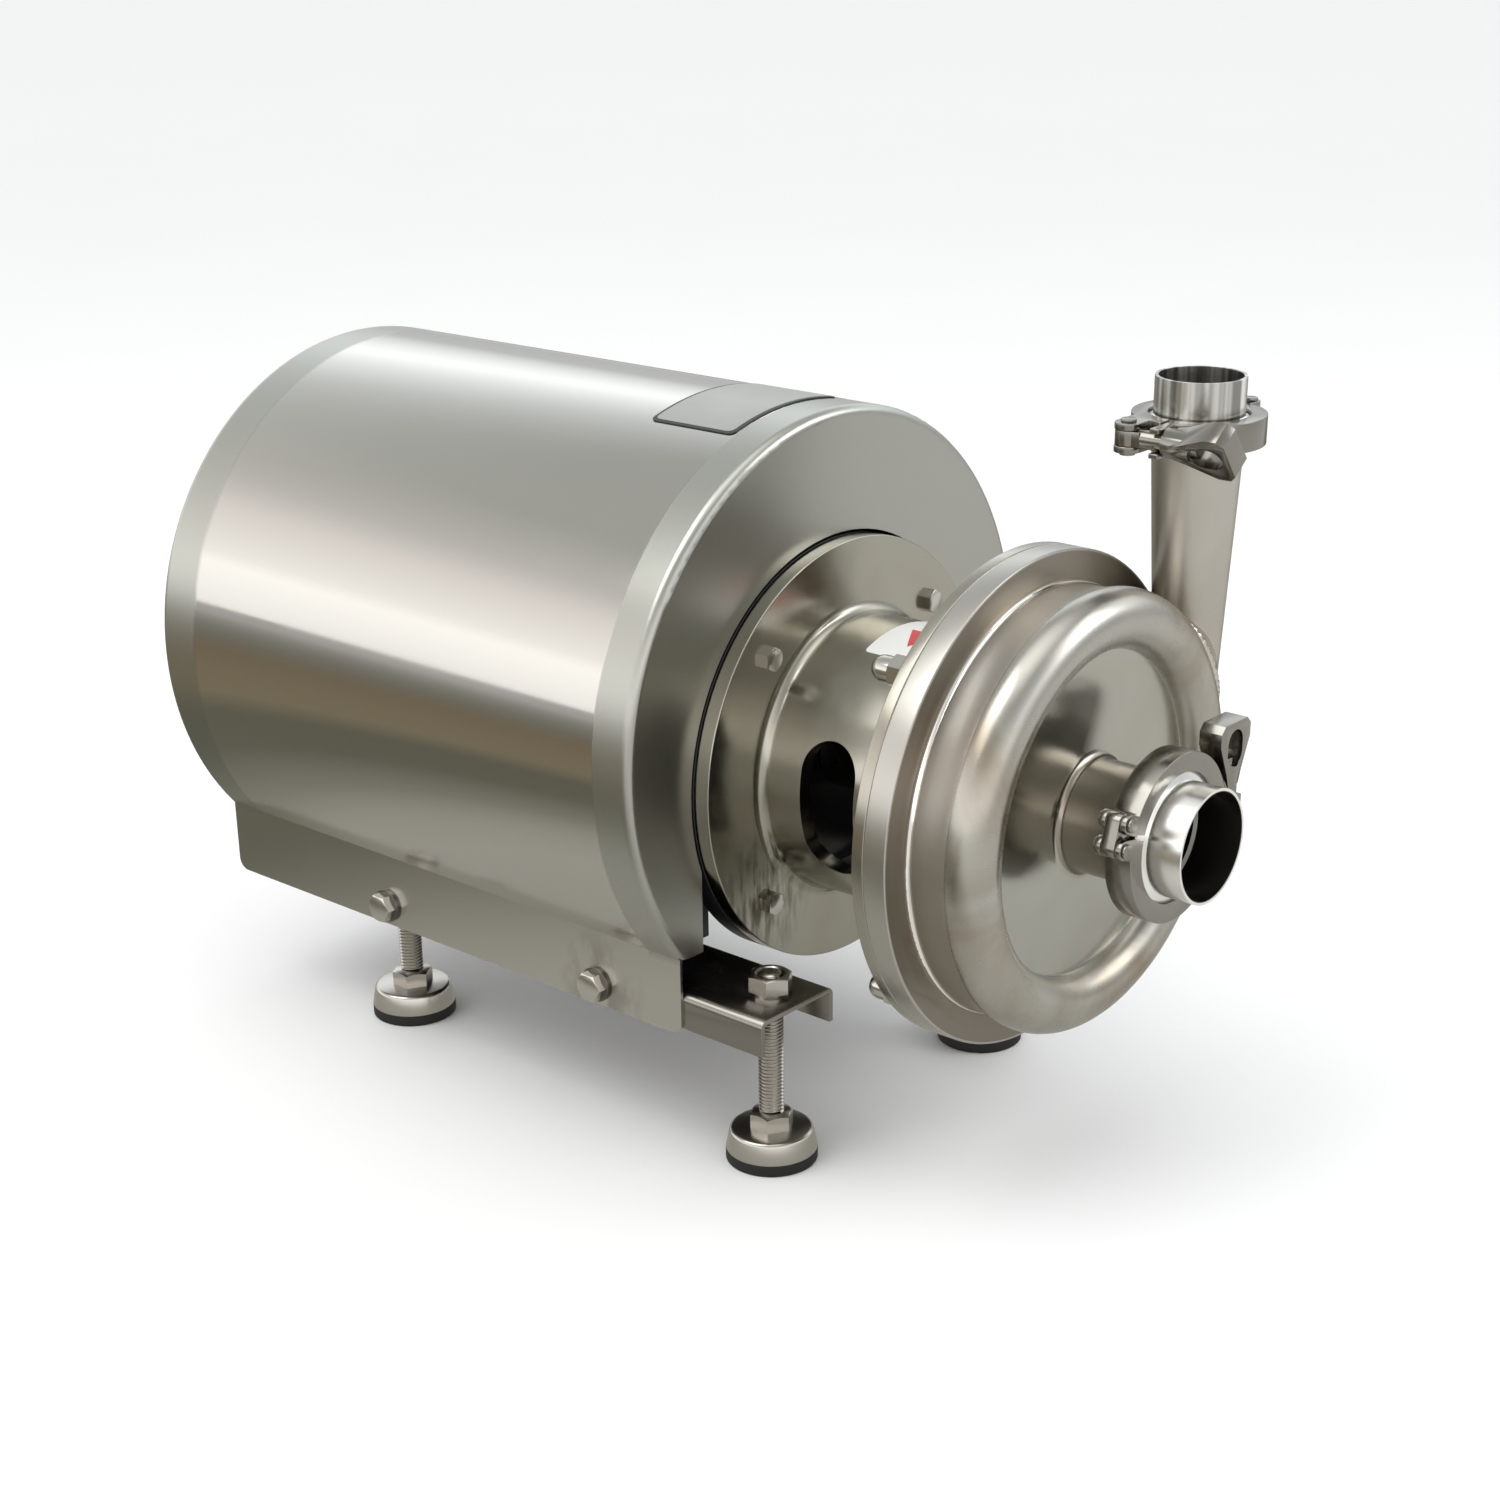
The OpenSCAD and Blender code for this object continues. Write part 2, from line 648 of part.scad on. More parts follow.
module lantern_bolts() color(polished) placed() on_square_circle(flange_pcd, 0) {
    translate([0, 0, lantern_flange_t]) hex(m6_flats, m6_head);
    translate([0, 0, -motor_flange_t]) cylinder(r = m6_r, h = motor_flange_t + lantern_flange_t);
}

// Casing

// Section of a ferrule from its gasket face at 0, solid down to the bore
module ferrule2d(tube_d, rim_d, length, bore_r) {
    cone_end = rim_t + (rim_d - tube_d) / 2 * tan(ferrule_angle);
    polygon([[bore_r, 0], [rim_d / 2, 0], [rim_d / 2, rim_t], [tube_d / 2, cone_end], [tube_d / 2, length],
        [bore_r, length]]);
}
module casing_outside() {
    rimmed2d(casing_r, seam_x, casing_front);
    drum2d(drum_r, seam_x, ring_mid);
    fillet2d(drum_r, casing_front, root_fillet, 1, 1);
    drum2d(ring_r, seam_x, disc_x);
    translate([ring_r, ring_mid]) circle(ring_section);
    // Soft valley between the drum and the round ring
    difference() {
        reach = ring_section / (ring_section + valley_r);
        touch = [ring_r + reach * (drum_r + valley_r - ring_r), ring_mid - reach * (ring_mid - valley_x)];
        polygon([[ring_r, valley_x], [drum_r + valley_r, valley_x], touch, [ring_r, ring_mid]]);
        translate([drum_r + valley_r, valley_x]) circle(valley_r);
    }
    drum2d(inlet_r, seam_x, inlet_face - rim_t);
    fillet2d(inlet_r, disc_x, inlet_fillet, 1, 1);
    translate([0, inlet_face]) mirror([0, 1]) ferrule2d(inlet_tube_d, inlet_rim_d, outlet_neck, 0);
}
module casing_inside() {
    drum2d(back_flange_r + slip, seam_x - past, seam_x + back_flange_t);
    drum2d(seal_groove_r, seam_x - past, seam_x + back_flange_t + seal_w);
    drum2d(cavity_r, seam_x - past, disc_x - casing_wall);
    translate([ring_r, ring_mid]) circle(ring_section - casing_wall);
    drum2d(inlet_r - tube_wall, seam_x - past, inlet_face + past);
}
module discharge_outside() translate([outlet_x, outlet_y, 0]) {
    translate([0, 0, axis_h]) {
        sphere(throat_r);
        cylinder(r1 = throat_r, r2 = outlet_r, h = outlet_face - outlet_neck - axis_h);
    }
    translate([0, 0, outlet_face]) mirror([0, 0, 1]) rotate_extrude()
        ferrule2d(outlet_tube_d, outlet_rim_d, outlet_neck, 0);
}
module discharge_inside() translate([outlet_x, outlet_y, 0]) {
    translate([0, 0, axis_h])
        cylinder(r1 = throat_r - casing_wall, r2 = outlet_r - tube_wall,
            h = outlet_face - outlet_neck - axis_h);
    translate([0, 0, outlet_face - outlet_neck]) cylinder(r = outlet_r - tube_wall, h = outlet_neck + past);
}
module casing() color(satin) placed() difference() {
    union() {
        turned() casing_outside();
        discharge_outside();
    }
    turned() casing_inside();
    discharge_inside();
    on_square_circle(stud_pcd, seam_x - past) cylinder(r = stud_r + fit, h = stud_deep + past);
}
cap_hex_h = 8;
cap_dome_r = 5.8;
cap_neck = 5;
module casing_studs() color(polished) placed() on_square_circle(stud_pcd, seam_x - pump_flange_t - cap_hex_h)
    cylinder(r = stud_r, h = stud_deep + pump_flange_t + cap_hex_h);
module cap_nuts() color(polished) placed() on_square_circle(stud_pcd, seam_x - pump_flange_t)
    mirror([0, 0, 1]) difference() {
        union() {
            hex(m8_flats, cap_hex_h);
            translate([0, 0, cap_hex_h]) intersection() {
                cylinder(r = cap_dome_r, h = cap_neck + cap_dome_r);
                union() {
                    translate([0, 0, cap_neck]) sphere(cap_dome_r);
                    cylinder(r = cap_dome_r, h = cap_neck);
                }
            }
        }
        translate([0, 0, -past]) cylinder(r = stud_r + fit, h = cap_hex_h + past);
    }
module back_plate() color(satin) placed() turned() difference() {
    union() {
        drum2d(back_flange_r, seam_x, seam_x + back_flange_t);
        drum2d(cavity_r - fit, seam_x, seam_x + back_plate_t);
    }
    drum2d(seat_r + fit, seam_x + 2, seam_x + back_plate_t + past);
    drum2d(shaft_r + 2, seam_x - past, seam_x + back_plate_t);
}
module casing_seal() color(white_seal) placed() turned()
    drum2d(seal_groove_r - fit, seam_x + back_flange_t, seam_x + back_flange_t + seal_w, cavity_r);
module seal_seat() color(white_seal) placed() turned() drum2d(seat_r, seam_x + 2, seat_front, shaft_r + 1);

// Turning group

module motor_shaft() color(dark_steel) placed() difference() {
    turned() {
        drum2d(fan_shaft_r, fan_end, shield_end);
        drum2d(journal_r, shield_end, frame_rear + run);
        drum2d(core_shaft_r, frame_rear + run, -bearing_wall - bearing_w - run);
        drum2d(journal_r, -bearing_wall - bearing_w - run, -bearing_wall);
        drum2d(shaft_r, -bearing_wall, shaft_end);
    }
    key_slot();
}
key_size = [36, 8, 7];
key_depth = 4;
module key_box(grow)
    translate([(shaft_end - key_size[0]) / 2 - grow, -key_size[1] / 2 - grow,
            axis_h + shaft_r - key_depth])
        cube([key_size[0] + 2 * grow, key_size[1] + 2 * grow, key_size[2] + grow]);
module key_slot() key_box(fit);
module shaft_key() color(dark_steel) placed() key_box(0);
module rotor_core() color(dark_steel) placed() turned()
    drum2d(rotor_r, stator_front - stator_len, stator_front, core_shaft_r);
fan_blades = 8;
module cooling_fan() color(rubber_black) placed() along_shaft(fan_end) difference() {
    union() {
        cylinder(r = fan_shaft_r + 6, h = fan_w);
        translate([0, 0, fan_w - 3]) cylinder(r = fan_r * 0.6, h = 3);
        for (i = [0:fan_blades - 1]) rotate([0, 0, i * 360 / fan_blades])
            translate([fan_shaft_r + 2, -1.25, 0]) cube([fan_r - fan_shaft_r - 2, 2.5, fan_w]);
    }
    translate([0, 0, -past]) cylinder(r = fan_shaft_r + fit, h = fan_w + 2 * past);
}
screw_r = 3;
screw_front = 8;
screw_back = 14;
module at_shaft_screws() for (x = [sleeve_front + screw_front, sleeve_end - screw_back])
    translate([x, 0, axis_h]) rotate([90, 0, 0]) children();
module pump_shaft() color(polished) placed() difference() {
    turned() difference() {
        union() {
            drum2d(sleeve_r, sleeve_front, sleeve_end + 6);
            drum2d(shaft_r, sleeve_end, spring_front);
            drum2d(hub_bore_r, spring_front, hub_front);
            drum2d(nut_bore_r, hub_front, hub_front + nut_bore_len - slip);
        }
        drum2d(shaft_r + fit, sleeve_front - past, sleeve_end);
    }
    key_slot();
    at_shaft_screws() cylinder(r = screw_r + fit, h = 2 * sleeve_r);
}
module shaft_screws() color(dark_steel) placed() at_shaft_screws() translate([0, 0, shaft_r + fit])
    cylinder(r = screw_r, h = sleeve_r - shaft_r);
module seal_ring() color(rubber_black) placed() turned()
    drum2d(seat_r + 1, seat_front + run, seal_front, shaft_r + fit);
module seal_spring() color(polished) placed() turned()
    drum2d(seat_r, seal_front, spring_front, shaft_r + fit);
blade_curve = impeller_d * 0.36;
blade_short = 0.5;
blade_root = 3;
// One backward curved blade, as a strip between two arcs
module blade2d() intersection() {
    difference() {
        circle(impeller_d / 2 - blade_short);
        circle(hub_r - blade_root);
    }
    translate([0, -blade_curve]) difference() {
        circle(blade_curve + blade_t / 2);
        circle(blade_curve - blade_t / 2);
    }
    translate([0, -impeller_d]) square([impeller_d, 2 * impeller_d]);
}
module impeller() color(satin) placed() along_shaft(0) difference() {
    union() {
        translate([0, 0, spring_front]) cylinder(d = impeller_d, h = impeller_disc_t);
        translate([0, 0, spring_front]) cylinder(r = hub_r, h = hub_front - spring_front);
        translate([0, 0, spring_front + impeller_disc_t / 2])
            linear_extrude(impeller_front - spring_front - impeller_disc_t / 2)
                for (i = [0:blades - 1]) rotate(i * 360 / blades) blade2d();
    }
    translate([0, 0, spring_front - past]) cylinder(r = hub_bore_r + fit, h = hub_front);
    translate([0, 0, hub_front]) cylinder(r = hub_r - 2, h = impeller_front);
}
impeller_nut_flats = 22;
nut_nose_r = 7;
module impeller_nut() color(polished) placed() along_shaft(hub_front) difference() {
    union() {
        hex(impeller_nut_flats, nut_hex_len);
        cylinder(r1 = nut_nose_r + 3, r2 = nut_nose_r, h = impeller_nut_len);
    }
    translate([0, 0, -past]) cylinder(r = nut_bore_r + fit, h = nut_bore_len + past);
}

// Ports: gaskets, ferrules and clamps

module gasket(port) translate([0, 0, -gasket_t / 2]) tube(port[1] / 2, port[0] / 2 - tube_wall, gasket_t);
module ferrule(port) translate([0, 0, gasket_t / 2]) rotate_extrude()
    ferrule2d(port[0], port[1], ferrule_len, port[0] / 2 - tube_wall);
// Section of a clamp's ring, with the groove that draws the two ferrules together
module clamp_section(port) {
    rim = port[1] / 2 + slip;
    lip = port[1] / 2 - lip_depth;
    half = gasket_t / 2 + rim_t + slip;
    difference() {
        translate([lip, -clamp_w / 2]) square([port[2] / 2 - lip, clamp_w]);
        polygon([[lip - past, -half - (rim - lip + past) * tan(ferrule_angle)], [rim, -half], [rim, half],
            [lip - past, half + (rim - lip + past) * tan(ferrule_angle)]]);
    }
}
// Wedge from one angle to another, wide enough for any clamp
module wedge(a0, a1, reach) linear_extrude(4 * clamp_w, center = true)
    polygon(concat([[0, 0]], [for (i = [0:4]) let (a = a0 + (a1 - a0) * i / 4) reach * [cos(a), sin(a)]]));
module half_ring(port, a0, a1) difference() {
    intersection() {
        rotate_extrude() clamp_section(port);
        wedge(a0, a1, 2 * port[2]);
    }
    for (a = [0, hinge_angle(port)]) rotate([0, 0, a]) translate([0, -split_gap, -clamp_w])
        cube([port[2], 2 * split_gap, 2 * clamp_w]);
}
// Two plates, one on each side of a gap in the clamp's width
module fork(gap) for (s = [0, 1]) mirror([0, 0, s]) translate([0, 0, gap])
    linear_extrude(clamp_w / 2 - gap) children();
module outside_ring(port) difference() {
    children();
    cylinder(d = port[2] - 2 * root_in, h = 4 * clamp_w, center = true);
}
module hinge_ears(port, side) outside_ring(port) difference() {
    fork(fork_half) rotate(hinge_pin_angle(port, side)) {
        translate([port[2] / 2 - 2 * root_in, -hinge_ear_r])
            square([2 * root_in + hinge_off, 2 * hinge_ear_r]);
        translate([hinge_pin_ring(port), 0]) circle(hinge_ear_r);
    }
    rotate([0, 0, hinge_pin_angle(port, side)]) translate([hinge_pin_ring(port), 0, -clamp_w])
        cylinder(r = hinge_pin_r + fit, h = 2 * clamp_w);
}
module pivot_fork(port) outside_ring(port) difference() {
    fork(fork_half) {
        translate([0, -pivot_drop - lug_r]) square([bolt_off(port), 2 * lug_r]);
        translate([bolt_off(port), -pivot_drop]) circle(lug_r);
    }
    translate([bolt_off(port), -pivot_drop, -clamp_w]) cylinder(r = pivot_r + fit, h = 2 * clamp_w);
}
// Lug whose top is an arc about the pivot, so that the nut's face clears it as the bolt swings out
module slot_lug(port) outside_ring(port) difference() {
    intersection() {
        translate([0, split_gap, -clamp_w / 2]) cube([bolt_off(port) + lug_r, lug_t, clamp_w]);
        translate([bolt_off(port), -pivot_drop, -clamp_w]) cylinder(r = pivot_drop + lug_t, h = 2 * clamp_w);
    }
    translate([bolt_off(port) - swing_r - run, -past, -swing_r - run])
        cube([port[2], lug_t + split_gap + 2 * past, 2 * (swing_r + run)]);
}
module clamp_with_pivot(port) {
    half_ring(port, hinge_angle(port), 360);
    pivot_fork(port);
    hinge_ears(port, -1);
}
module clamp_with_slot(port) {
    half_ring(port, 0, hinge_angle(port));
    slot_lug(port);
    hinge_ears(port, 1);
}
module hinge_pin_places(port) for (side = [-1, 1]) rotate([0, 0, hinge_pin_angle(port, side)])
    translate([hinge_pin_ring(port), 0, 0]) children();
module clamp_link(port) difference() {
    linear_extrude(2 * (fork_half - slip), center = true) {
        for (side = [-1, 1]) rotate(hinge_pin_angle(port, side)) translate([hinge_pin_ring(port), 0])
            circle(hinge_ear_r - slip);
        rotate(hinge_angle(port)) translate([sqrt(pow(hinge_pin_ring(port), 2) - pow(hinge_step, 2)), 0])
            square([2 * (hinge_ear_r - slip), 2 * hinge_step], center = true);
    }
    hinge_pin_places(port) cylinder(r = hinge_pin_r + fit, h = 2 * clamp_w, center = true);
}
// Pin with a head at each end, through both plates of a fork
module headed_pin(r) {
    cylinder(r = r, h = clamp_w + 2 * pin_head_t, center = true);
    for (s = [0, 1]) mirror([0, 0, s]) translate([0, 0, clamp_w / 2]) cylinder(r = r + 1, h = pin_head_t);
}
module clamp_pins(port) {
    hinge_pin_places(port) headed_pin(hinge_pin_r);
    translate([bolt_off(port), -pivot_drop, 0]) headed_pin(pivot_r);
}
nut_start = lug_t + run;
window_start = nut_start + barrel_len - 1;
module swing_bolt(port) translate([bolt_off(port), -pivot_drop, 0]) {
    difference() {
        linear_extrude(2 * (fork_half - run), center = true) {
            circle(lug_r - run);
            translate([-swing_r, 0]) square([2 * swing_r, lug_r + 2]);
        }
        cylinder(r = pivot_r + fit, h = 2 * clamp_w, center = true);
    }
    translate([0, lug_r + run, 0]) rotate([-90, 0, 0])
        cylinder(r = swing_r, h = window_start + pivot_drop - lug_r + 3);
}
// Barrel that flares into a flat wing with a window through it
module wing_nut(port, turn) translate([bolt_off(port), nut_start, 0]) rotate([0, turn, 0]) difference() {
    union() {
        rotate([-90, 0, 0]) cylinder(r = wing_barrel_r, h = barrel_len);
        linear_extrude(wing_t, center = true) polygon([[-swing_r, 4], [swing_r, 4], [wing_barrel_r - 0.5, 10],
            [wing_span / 2, wing_len - 9], [wing_span / 2, wing_len - 3], [wing_span / 2 - 3, wing_len],
            [3 - wing_span / 2, wing_len], [-wing_span / 2, wing_len - 3], [-wing_span / 2, wing_len - 9],
            [0.5 - wing_barrel_r, 10]]);
    }
    rotate([-90, 0, 0]) translate([0, 0, -past]) cylinder(r = swing_r + fit, h = barrel_len + 2 * past);
    translate([0, (barrel_len - 1 + wing_len - 3.5) / 2, 0]) linear_extrude(2 * wing_t, center = true)
        slot2d(2 * swing_r + 4, wing_len - barrel_len - 2.5);
}

module inlet_gasket() color(white_seal) placed() at_inlet() gasket(INLET);
module inlet_ferrule() color(polished) placed() at_inlet() ferrule(INLET);
module inlet_clamp_lower() color(polished) placed() at_inlet() clamp_with_pivot(INLET);
module inlet_clamp_upper() color(polished) placed() at_inlet() clamp_with_slot(INLET);
module inlet_clamp_link() color(polished) placed() at_inlet() clamp_link(INLET);
module inlet_clamp_pins() color(polished) placed() at_inlet() clamp_pins(INLET);
module inlet_swing_bolt() color(polished) placed() at_inlet() swing_bolt(INLET);
module inlet_wing_nut() color(polished) placed() at_inlet() wing_nut(INLET, inlet_nut_turn);
module outlet_gasket() color(white_seal) placed() at_outlet() gasket(OUTLET);
module outlet_ferrule() color(polished) placed() at_outlet() ferrule(OUTLET);
module outlet_clamp_rear() color(polished) placed() at_outlet() clamp_with_pivot(OUTLET);
module outlet_clamp_front() color(polished) placed() at_outlet() clamp_with_slot(OUTLET);
module outlet_clamp_link() color(polished) placed() at_outlet() clamp_link(OUTLET);
module outlet_clamp_pins() color(polished) placed() at_outlet() clamp_pins(OUTLET);
module outlet_swing_bolt() color(polished) placed() at_outlet() swing_bolt(OUTLET);
module outlet_wing_nut() color(polished) placed() at_outlet() wing_nut(OUTLET, outlet_nut_turn);

left_rail();
right_rail();
rail_nuts();
shroud_shell();
shroud_rear_plate();
skirt_bolts();
skirt_washers();
motor_frame();
motor_flange();
motor_rear_shield();
stator();
fan_cowl();
terminal_box();
terminal_lid();
cable_gland();
motor_foot_bolts();
motor_bearings();
lantern();
lantern_bolts();
back_plate();
casing_seal();
casing();
casing_studs();
cap_nuts();
seal_seat();
inlet_gasket();
inlet_ferrule();
inlet_clamp_lower();
inlet_clamp_upper();
inlet_clamp_link();
inlet_clamp_pins();
outlet_gasket();
outlet_ferrule();
outlet_clamp_rear();
outlet_clamp_front();
outlet_clamp_link();
outlet_clamp_pins();
motor_shaft();
rotor_core();
cooling_fan();
shaft_key();
pump_shaft();
shaft_screws();
seal_ring();
seal_spring();
impeller();
impeller_nut();
inlet_swing_bolt();
inlet_wing_nut();
outlet_swing_bolt();
outlet_wing_nut();
front_left_foot();
front_left_pad();
front_right_foot();
front_right_pad();
rear_left_foot();
rear_left_pad();
rear_right_foot();
rear_right_pad();
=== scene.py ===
"""Looks of a sanitary centrifugal pump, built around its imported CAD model.

Sizes are in millimetres in the fields of the classes and in metres in the meshes.
"""

from __future__ import annotations

import logging
import math
from dataclasses import dataclass, field
from enum import Enum
from typing import Any, Callable, Mapping, Sequence

import bmesh
import bpy
from mathutils import Matrix, Vector

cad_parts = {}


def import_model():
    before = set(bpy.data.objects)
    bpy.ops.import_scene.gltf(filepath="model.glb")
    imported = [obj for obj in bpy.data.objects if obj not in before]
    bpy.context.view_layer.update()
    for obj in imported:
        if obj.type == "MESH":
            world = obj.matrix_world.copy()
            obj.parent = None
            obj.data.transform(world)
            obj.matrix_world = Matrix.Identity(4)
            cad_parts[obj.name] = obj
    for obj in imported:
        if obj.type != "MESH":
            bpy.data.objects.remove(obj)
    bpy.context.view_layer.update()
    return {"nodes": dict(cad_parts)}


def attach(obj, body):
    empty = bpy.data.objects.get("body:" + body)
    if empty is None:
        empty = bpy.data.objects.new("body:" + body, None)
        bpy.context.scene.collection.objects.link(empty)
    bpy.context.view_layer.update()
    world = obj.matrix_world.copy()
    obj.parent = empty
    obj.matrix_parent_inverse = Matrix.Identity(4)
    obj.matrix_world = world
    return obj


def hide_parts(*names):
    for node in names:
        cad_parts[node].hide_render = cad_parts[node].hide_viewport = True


LOG = logging.getLogger("pump")
MM = 0.001
# Place of the flange joint of motor and lantern along the shaft, and height of the shaft
SHIFT_X = 59.9
AXIS_H = 173.4
# Vertices closer than this are one, in metres
MERGE_M = 2e-6
ROUND_STEPS = 4
# Sharp angles of turned pieces, and of rounded copies with large flat faces, which shade evenly so
SMOOTH_DEG = 32.0
FLAT_SMOOTH_DEG = 18.0
# Numbers of the Mix node's colour sockets
COLOUR_A = 6
COLOUR_B = 7
COLOUR_OUT = 2
Point2 = tuple[float, float]
Point3 = tuple[float, float, float]
Colour = tuple[float, float, float]
Shade = tuple[float, float, float, float]
Tree = bpy.types.NodeTree
Node = bpy.types.Node
Socket = bpy.types.NodeSocket
Mesh = bmesh.types.BMesh
CadNodes = Mapping[str, bpy.types.Object]


class Axis(Enum):
    """Direction that a turned piece is built along."""

    X = (1.0, 0.0, 0.0)
    Y = (0.0, 1.0, 0.0)


class Body(Enum):
    """CAD bodies that pieces ride on."""

    FRAME = "pump_frame"
    INLET_BOLT = "inlet_bolt"
    INLET_NUT = "inlet_nut"
    OUTLET_BOLT = "outlet_bolt"
    OUTLET_NUT = "outlet_nut"


class Slot(Enum):
    """Names of material slots, which no piece here uses."""

    SATIN = "satin_steel"
    POLISHED = "polished_steel"
    RUBBER = "black_rubber"
    SEAL = "white_seal"


# Colours and nodes


def linear(colour: str) -> Shade:
    """Turn an sRGB hex colour to linear values.

    Args:
        colour: Hex digits such as "#c4c2bc".

    Returns:
        Linear red, green and blue, and an alpha of 1.
    """
    values = [int(colour[i : i + 2], 16) / 255 for i in (1, 3, 5)]
    red, green, blue = (v / 12.92 if v <= 0.04045 else ((v + 0.055) / 1.055) ** 2.4 for v in values)
    return red, green, blue, 1.0


def add_node(
    tree: Tree,
    kind: str,
    settings: Mapping[str | int, Any] | None = None,
    links: Mapping[str | int, Socket] | None = None,
) -> Node:
    """Add a node with its settings and incoming links.

    Args:
        tree: Node tree that gets the node.
        kind: Blender's node type.
        settings: Attributes, input values by name or number, or "stops" for a ramp.
        links: Output sockets by the name or number of the input they feed.

    Returns:
        The new node.
    """
    node = tree.nodes.new(kind)
    for key, value in (settings or {}).items():
        if key == "stops":
            ramp = node.color_ramp
            for place, shade in value:
                ramp.elements.new(place).color = shade
            ramp.elements.remove(ramp.elements[0])
            ramp.elements.remove(ramp.elements[-1])
        elif isinstance(key, str) and key not in node.inputs:
            setattr(node, key, value)
        else:
            node.inputs[key].default_value = value
    for key, socket in (links or {}).items():
        tree.links.new(socket, node.inputs[key])
    return node


@dataclass
class Graph:
    """Node tree, with the steps that its patterns share."""

    tree: Tree

    def compute(self, operation: str, *values: Socket | float, clamp: bool = False) -> Socket:
        """Compute with sockets and constants.

        Args:
            operation: Blender's name of the operation.
            values: The node's inputs in their order.
            clamp: Whether the result is kept between 0 and 1.

        Returns:
            The result.
        """
        settings: dict[str | int, Any] = {"operation": operation, "use_clamp": clamp}
        settings.update({i: v for i, v in enumerate(values) if isinstance(v, float)})
        links = {i: v for i, v in enumerate(values) if not isinstance(v, float)}
        return add_node(self.tree, "ShaderNodeMath", settings, links).outputs["Value"]

    def remap(self, value: Socket, span: Point2, to: Point2 = (0.0, 1.0)) -> Socket:
        """Map one span of a value to another, and hold it at the ends."""
        settings = {"From Min": span[0], "From Max": span[1], "To Min": to[0], "To Max": to[1]}
        return add_node(self.tree, "ShaderNodeMapRange", settings, {"Value": value}).outputs["Result"]

    def noise(self, spot: Socket, scale: float, detail: float, distortion: float = 0.0) -> Socket:
        """Give a noise pattern from 0 to 1, with so many repeats in a unit and so many finer layers."""
        settings = {"Scale": scale, "Detail": detail, "Distortion": distortion}
        return add_node(self.tree, "ShaderNodeTexNoise", settings, {"Vector": spot}).outputs["Fac"]

    def vector(self, operation: str, spot: Socket, by: Sequence[float]) -> Node:
        """Compute with coordinates and a constant vector."""
        settings = {"operation": operation, 1: tuple(by)}
        return add_node(self.tree, "ShaderNodeVectorMath", settings, {0: spot})

    def split(self, spot: Socket) -> Mapping[str, Socket]:
        """Split coordinates into their parts "X", "Y" and "Z"."""
        return add_node(self.tree, "ShaderNodeSeparateXYZ", links={"Vector": spot}).outputs


@dataclass
class Coat(Graph):
    """A material's nodes, with its shader and the object coordinates in metres."""

    shader: Node
    spot: Socket

    def colour(self, colour: str, share: Socket) -> None:
        """Mix a colour over the base colour so far.

        Args:
            colour: Hex colour on top.
            share: How much of it shows, from 0 to 1.
        """
        base = self.shader.inputs["Base Color"]
        settings = {"data_type": "RGBA", COLOUR_A: tuple(base.default_value), COLOUR_B: linear(colour)}
        mixed = add_node(self.tree, "ShaderNodeMix", settings, {0: share})
        if base.is_linked:
            self.tree.links.new(base.links[0].from_socket, mixed.inputs[COLOUR_A])
        self.tree.links.new(mixed.outputs[COLOUR_OUT], base)

    def roughness(self, value: float, share: Socket) -> None:
        """Mix a roughness over the one so far.

        Args:
            value: Roughness on top.
            share: How much of it shows, from 0 to 1.
        """
        rough = self.shader.inputs["Roughness"]
        settings = {"data_type": "FLOAT", "A": rough.default_value, "B": value}
        mixed = add_node(self.tree, "ShaderNodeMix", settings, {0: share})
        if rough.is_linked:
            self.tree.links.new(rough.links[0].from_socket, mixed.inputs["A"])
        self.tree.links.new(mixed.outputs[0], rough)

    def bump(self, height: Socket, distance_mm: float, strength: Socket | None = None) -> None:
        """Give the surface a fine relief.

        Args:
            height: The relief, from 0 to 1.
            distance_mm: Its depth.
            strength: How much of it shows, or none for all of it.
        """
        links = {"Height": height} if strength is None else {"Height": height, "Strength": strength}
        relief = add_node(self.tree, "ShaderNodeBump", {"Strength": 1.0, "Distance": distance_mm * MM}, links)
        self.tree.links.new(relief.outputs["Normal"], self.shader.inputs["Normal"])


# Finishes


@dataclass(frozen=True)
class Smudge:
    """Oily smudge round a point, streaked along the shaft."""

    at: Point3
    reach_mm: float
    colour: str
    strength: float = 1.1
    streaks: Point3 = (120.0, 260.0, 60.0)
    detail: float = 6.0
    contrast: Point2 = (0.42, 0.6)

    def lay(self, coat: Coat) -> None:
        """Lay the smudge over the base colour.

        Args:
            coat: The material's nodes.
        """
        away = coat.vector("DISTANCE", coat.spot, Vector(self.at) * MM).outputs["Value"]
        near = coat.remap(away, (self.reach_mm * MM, 0.0), (0.0, self.strength))
        streaked = coat.vector("MULTIPLY", coat.spot, self.streaks).outputs["Vector"]
        patchy = coat.remap(coat.noise(streaked, 1.0, self.detail), self.contrast)
        coat.colour(self.colour, coat.compute("MULTIPLY", near, patchy, clamp=True))


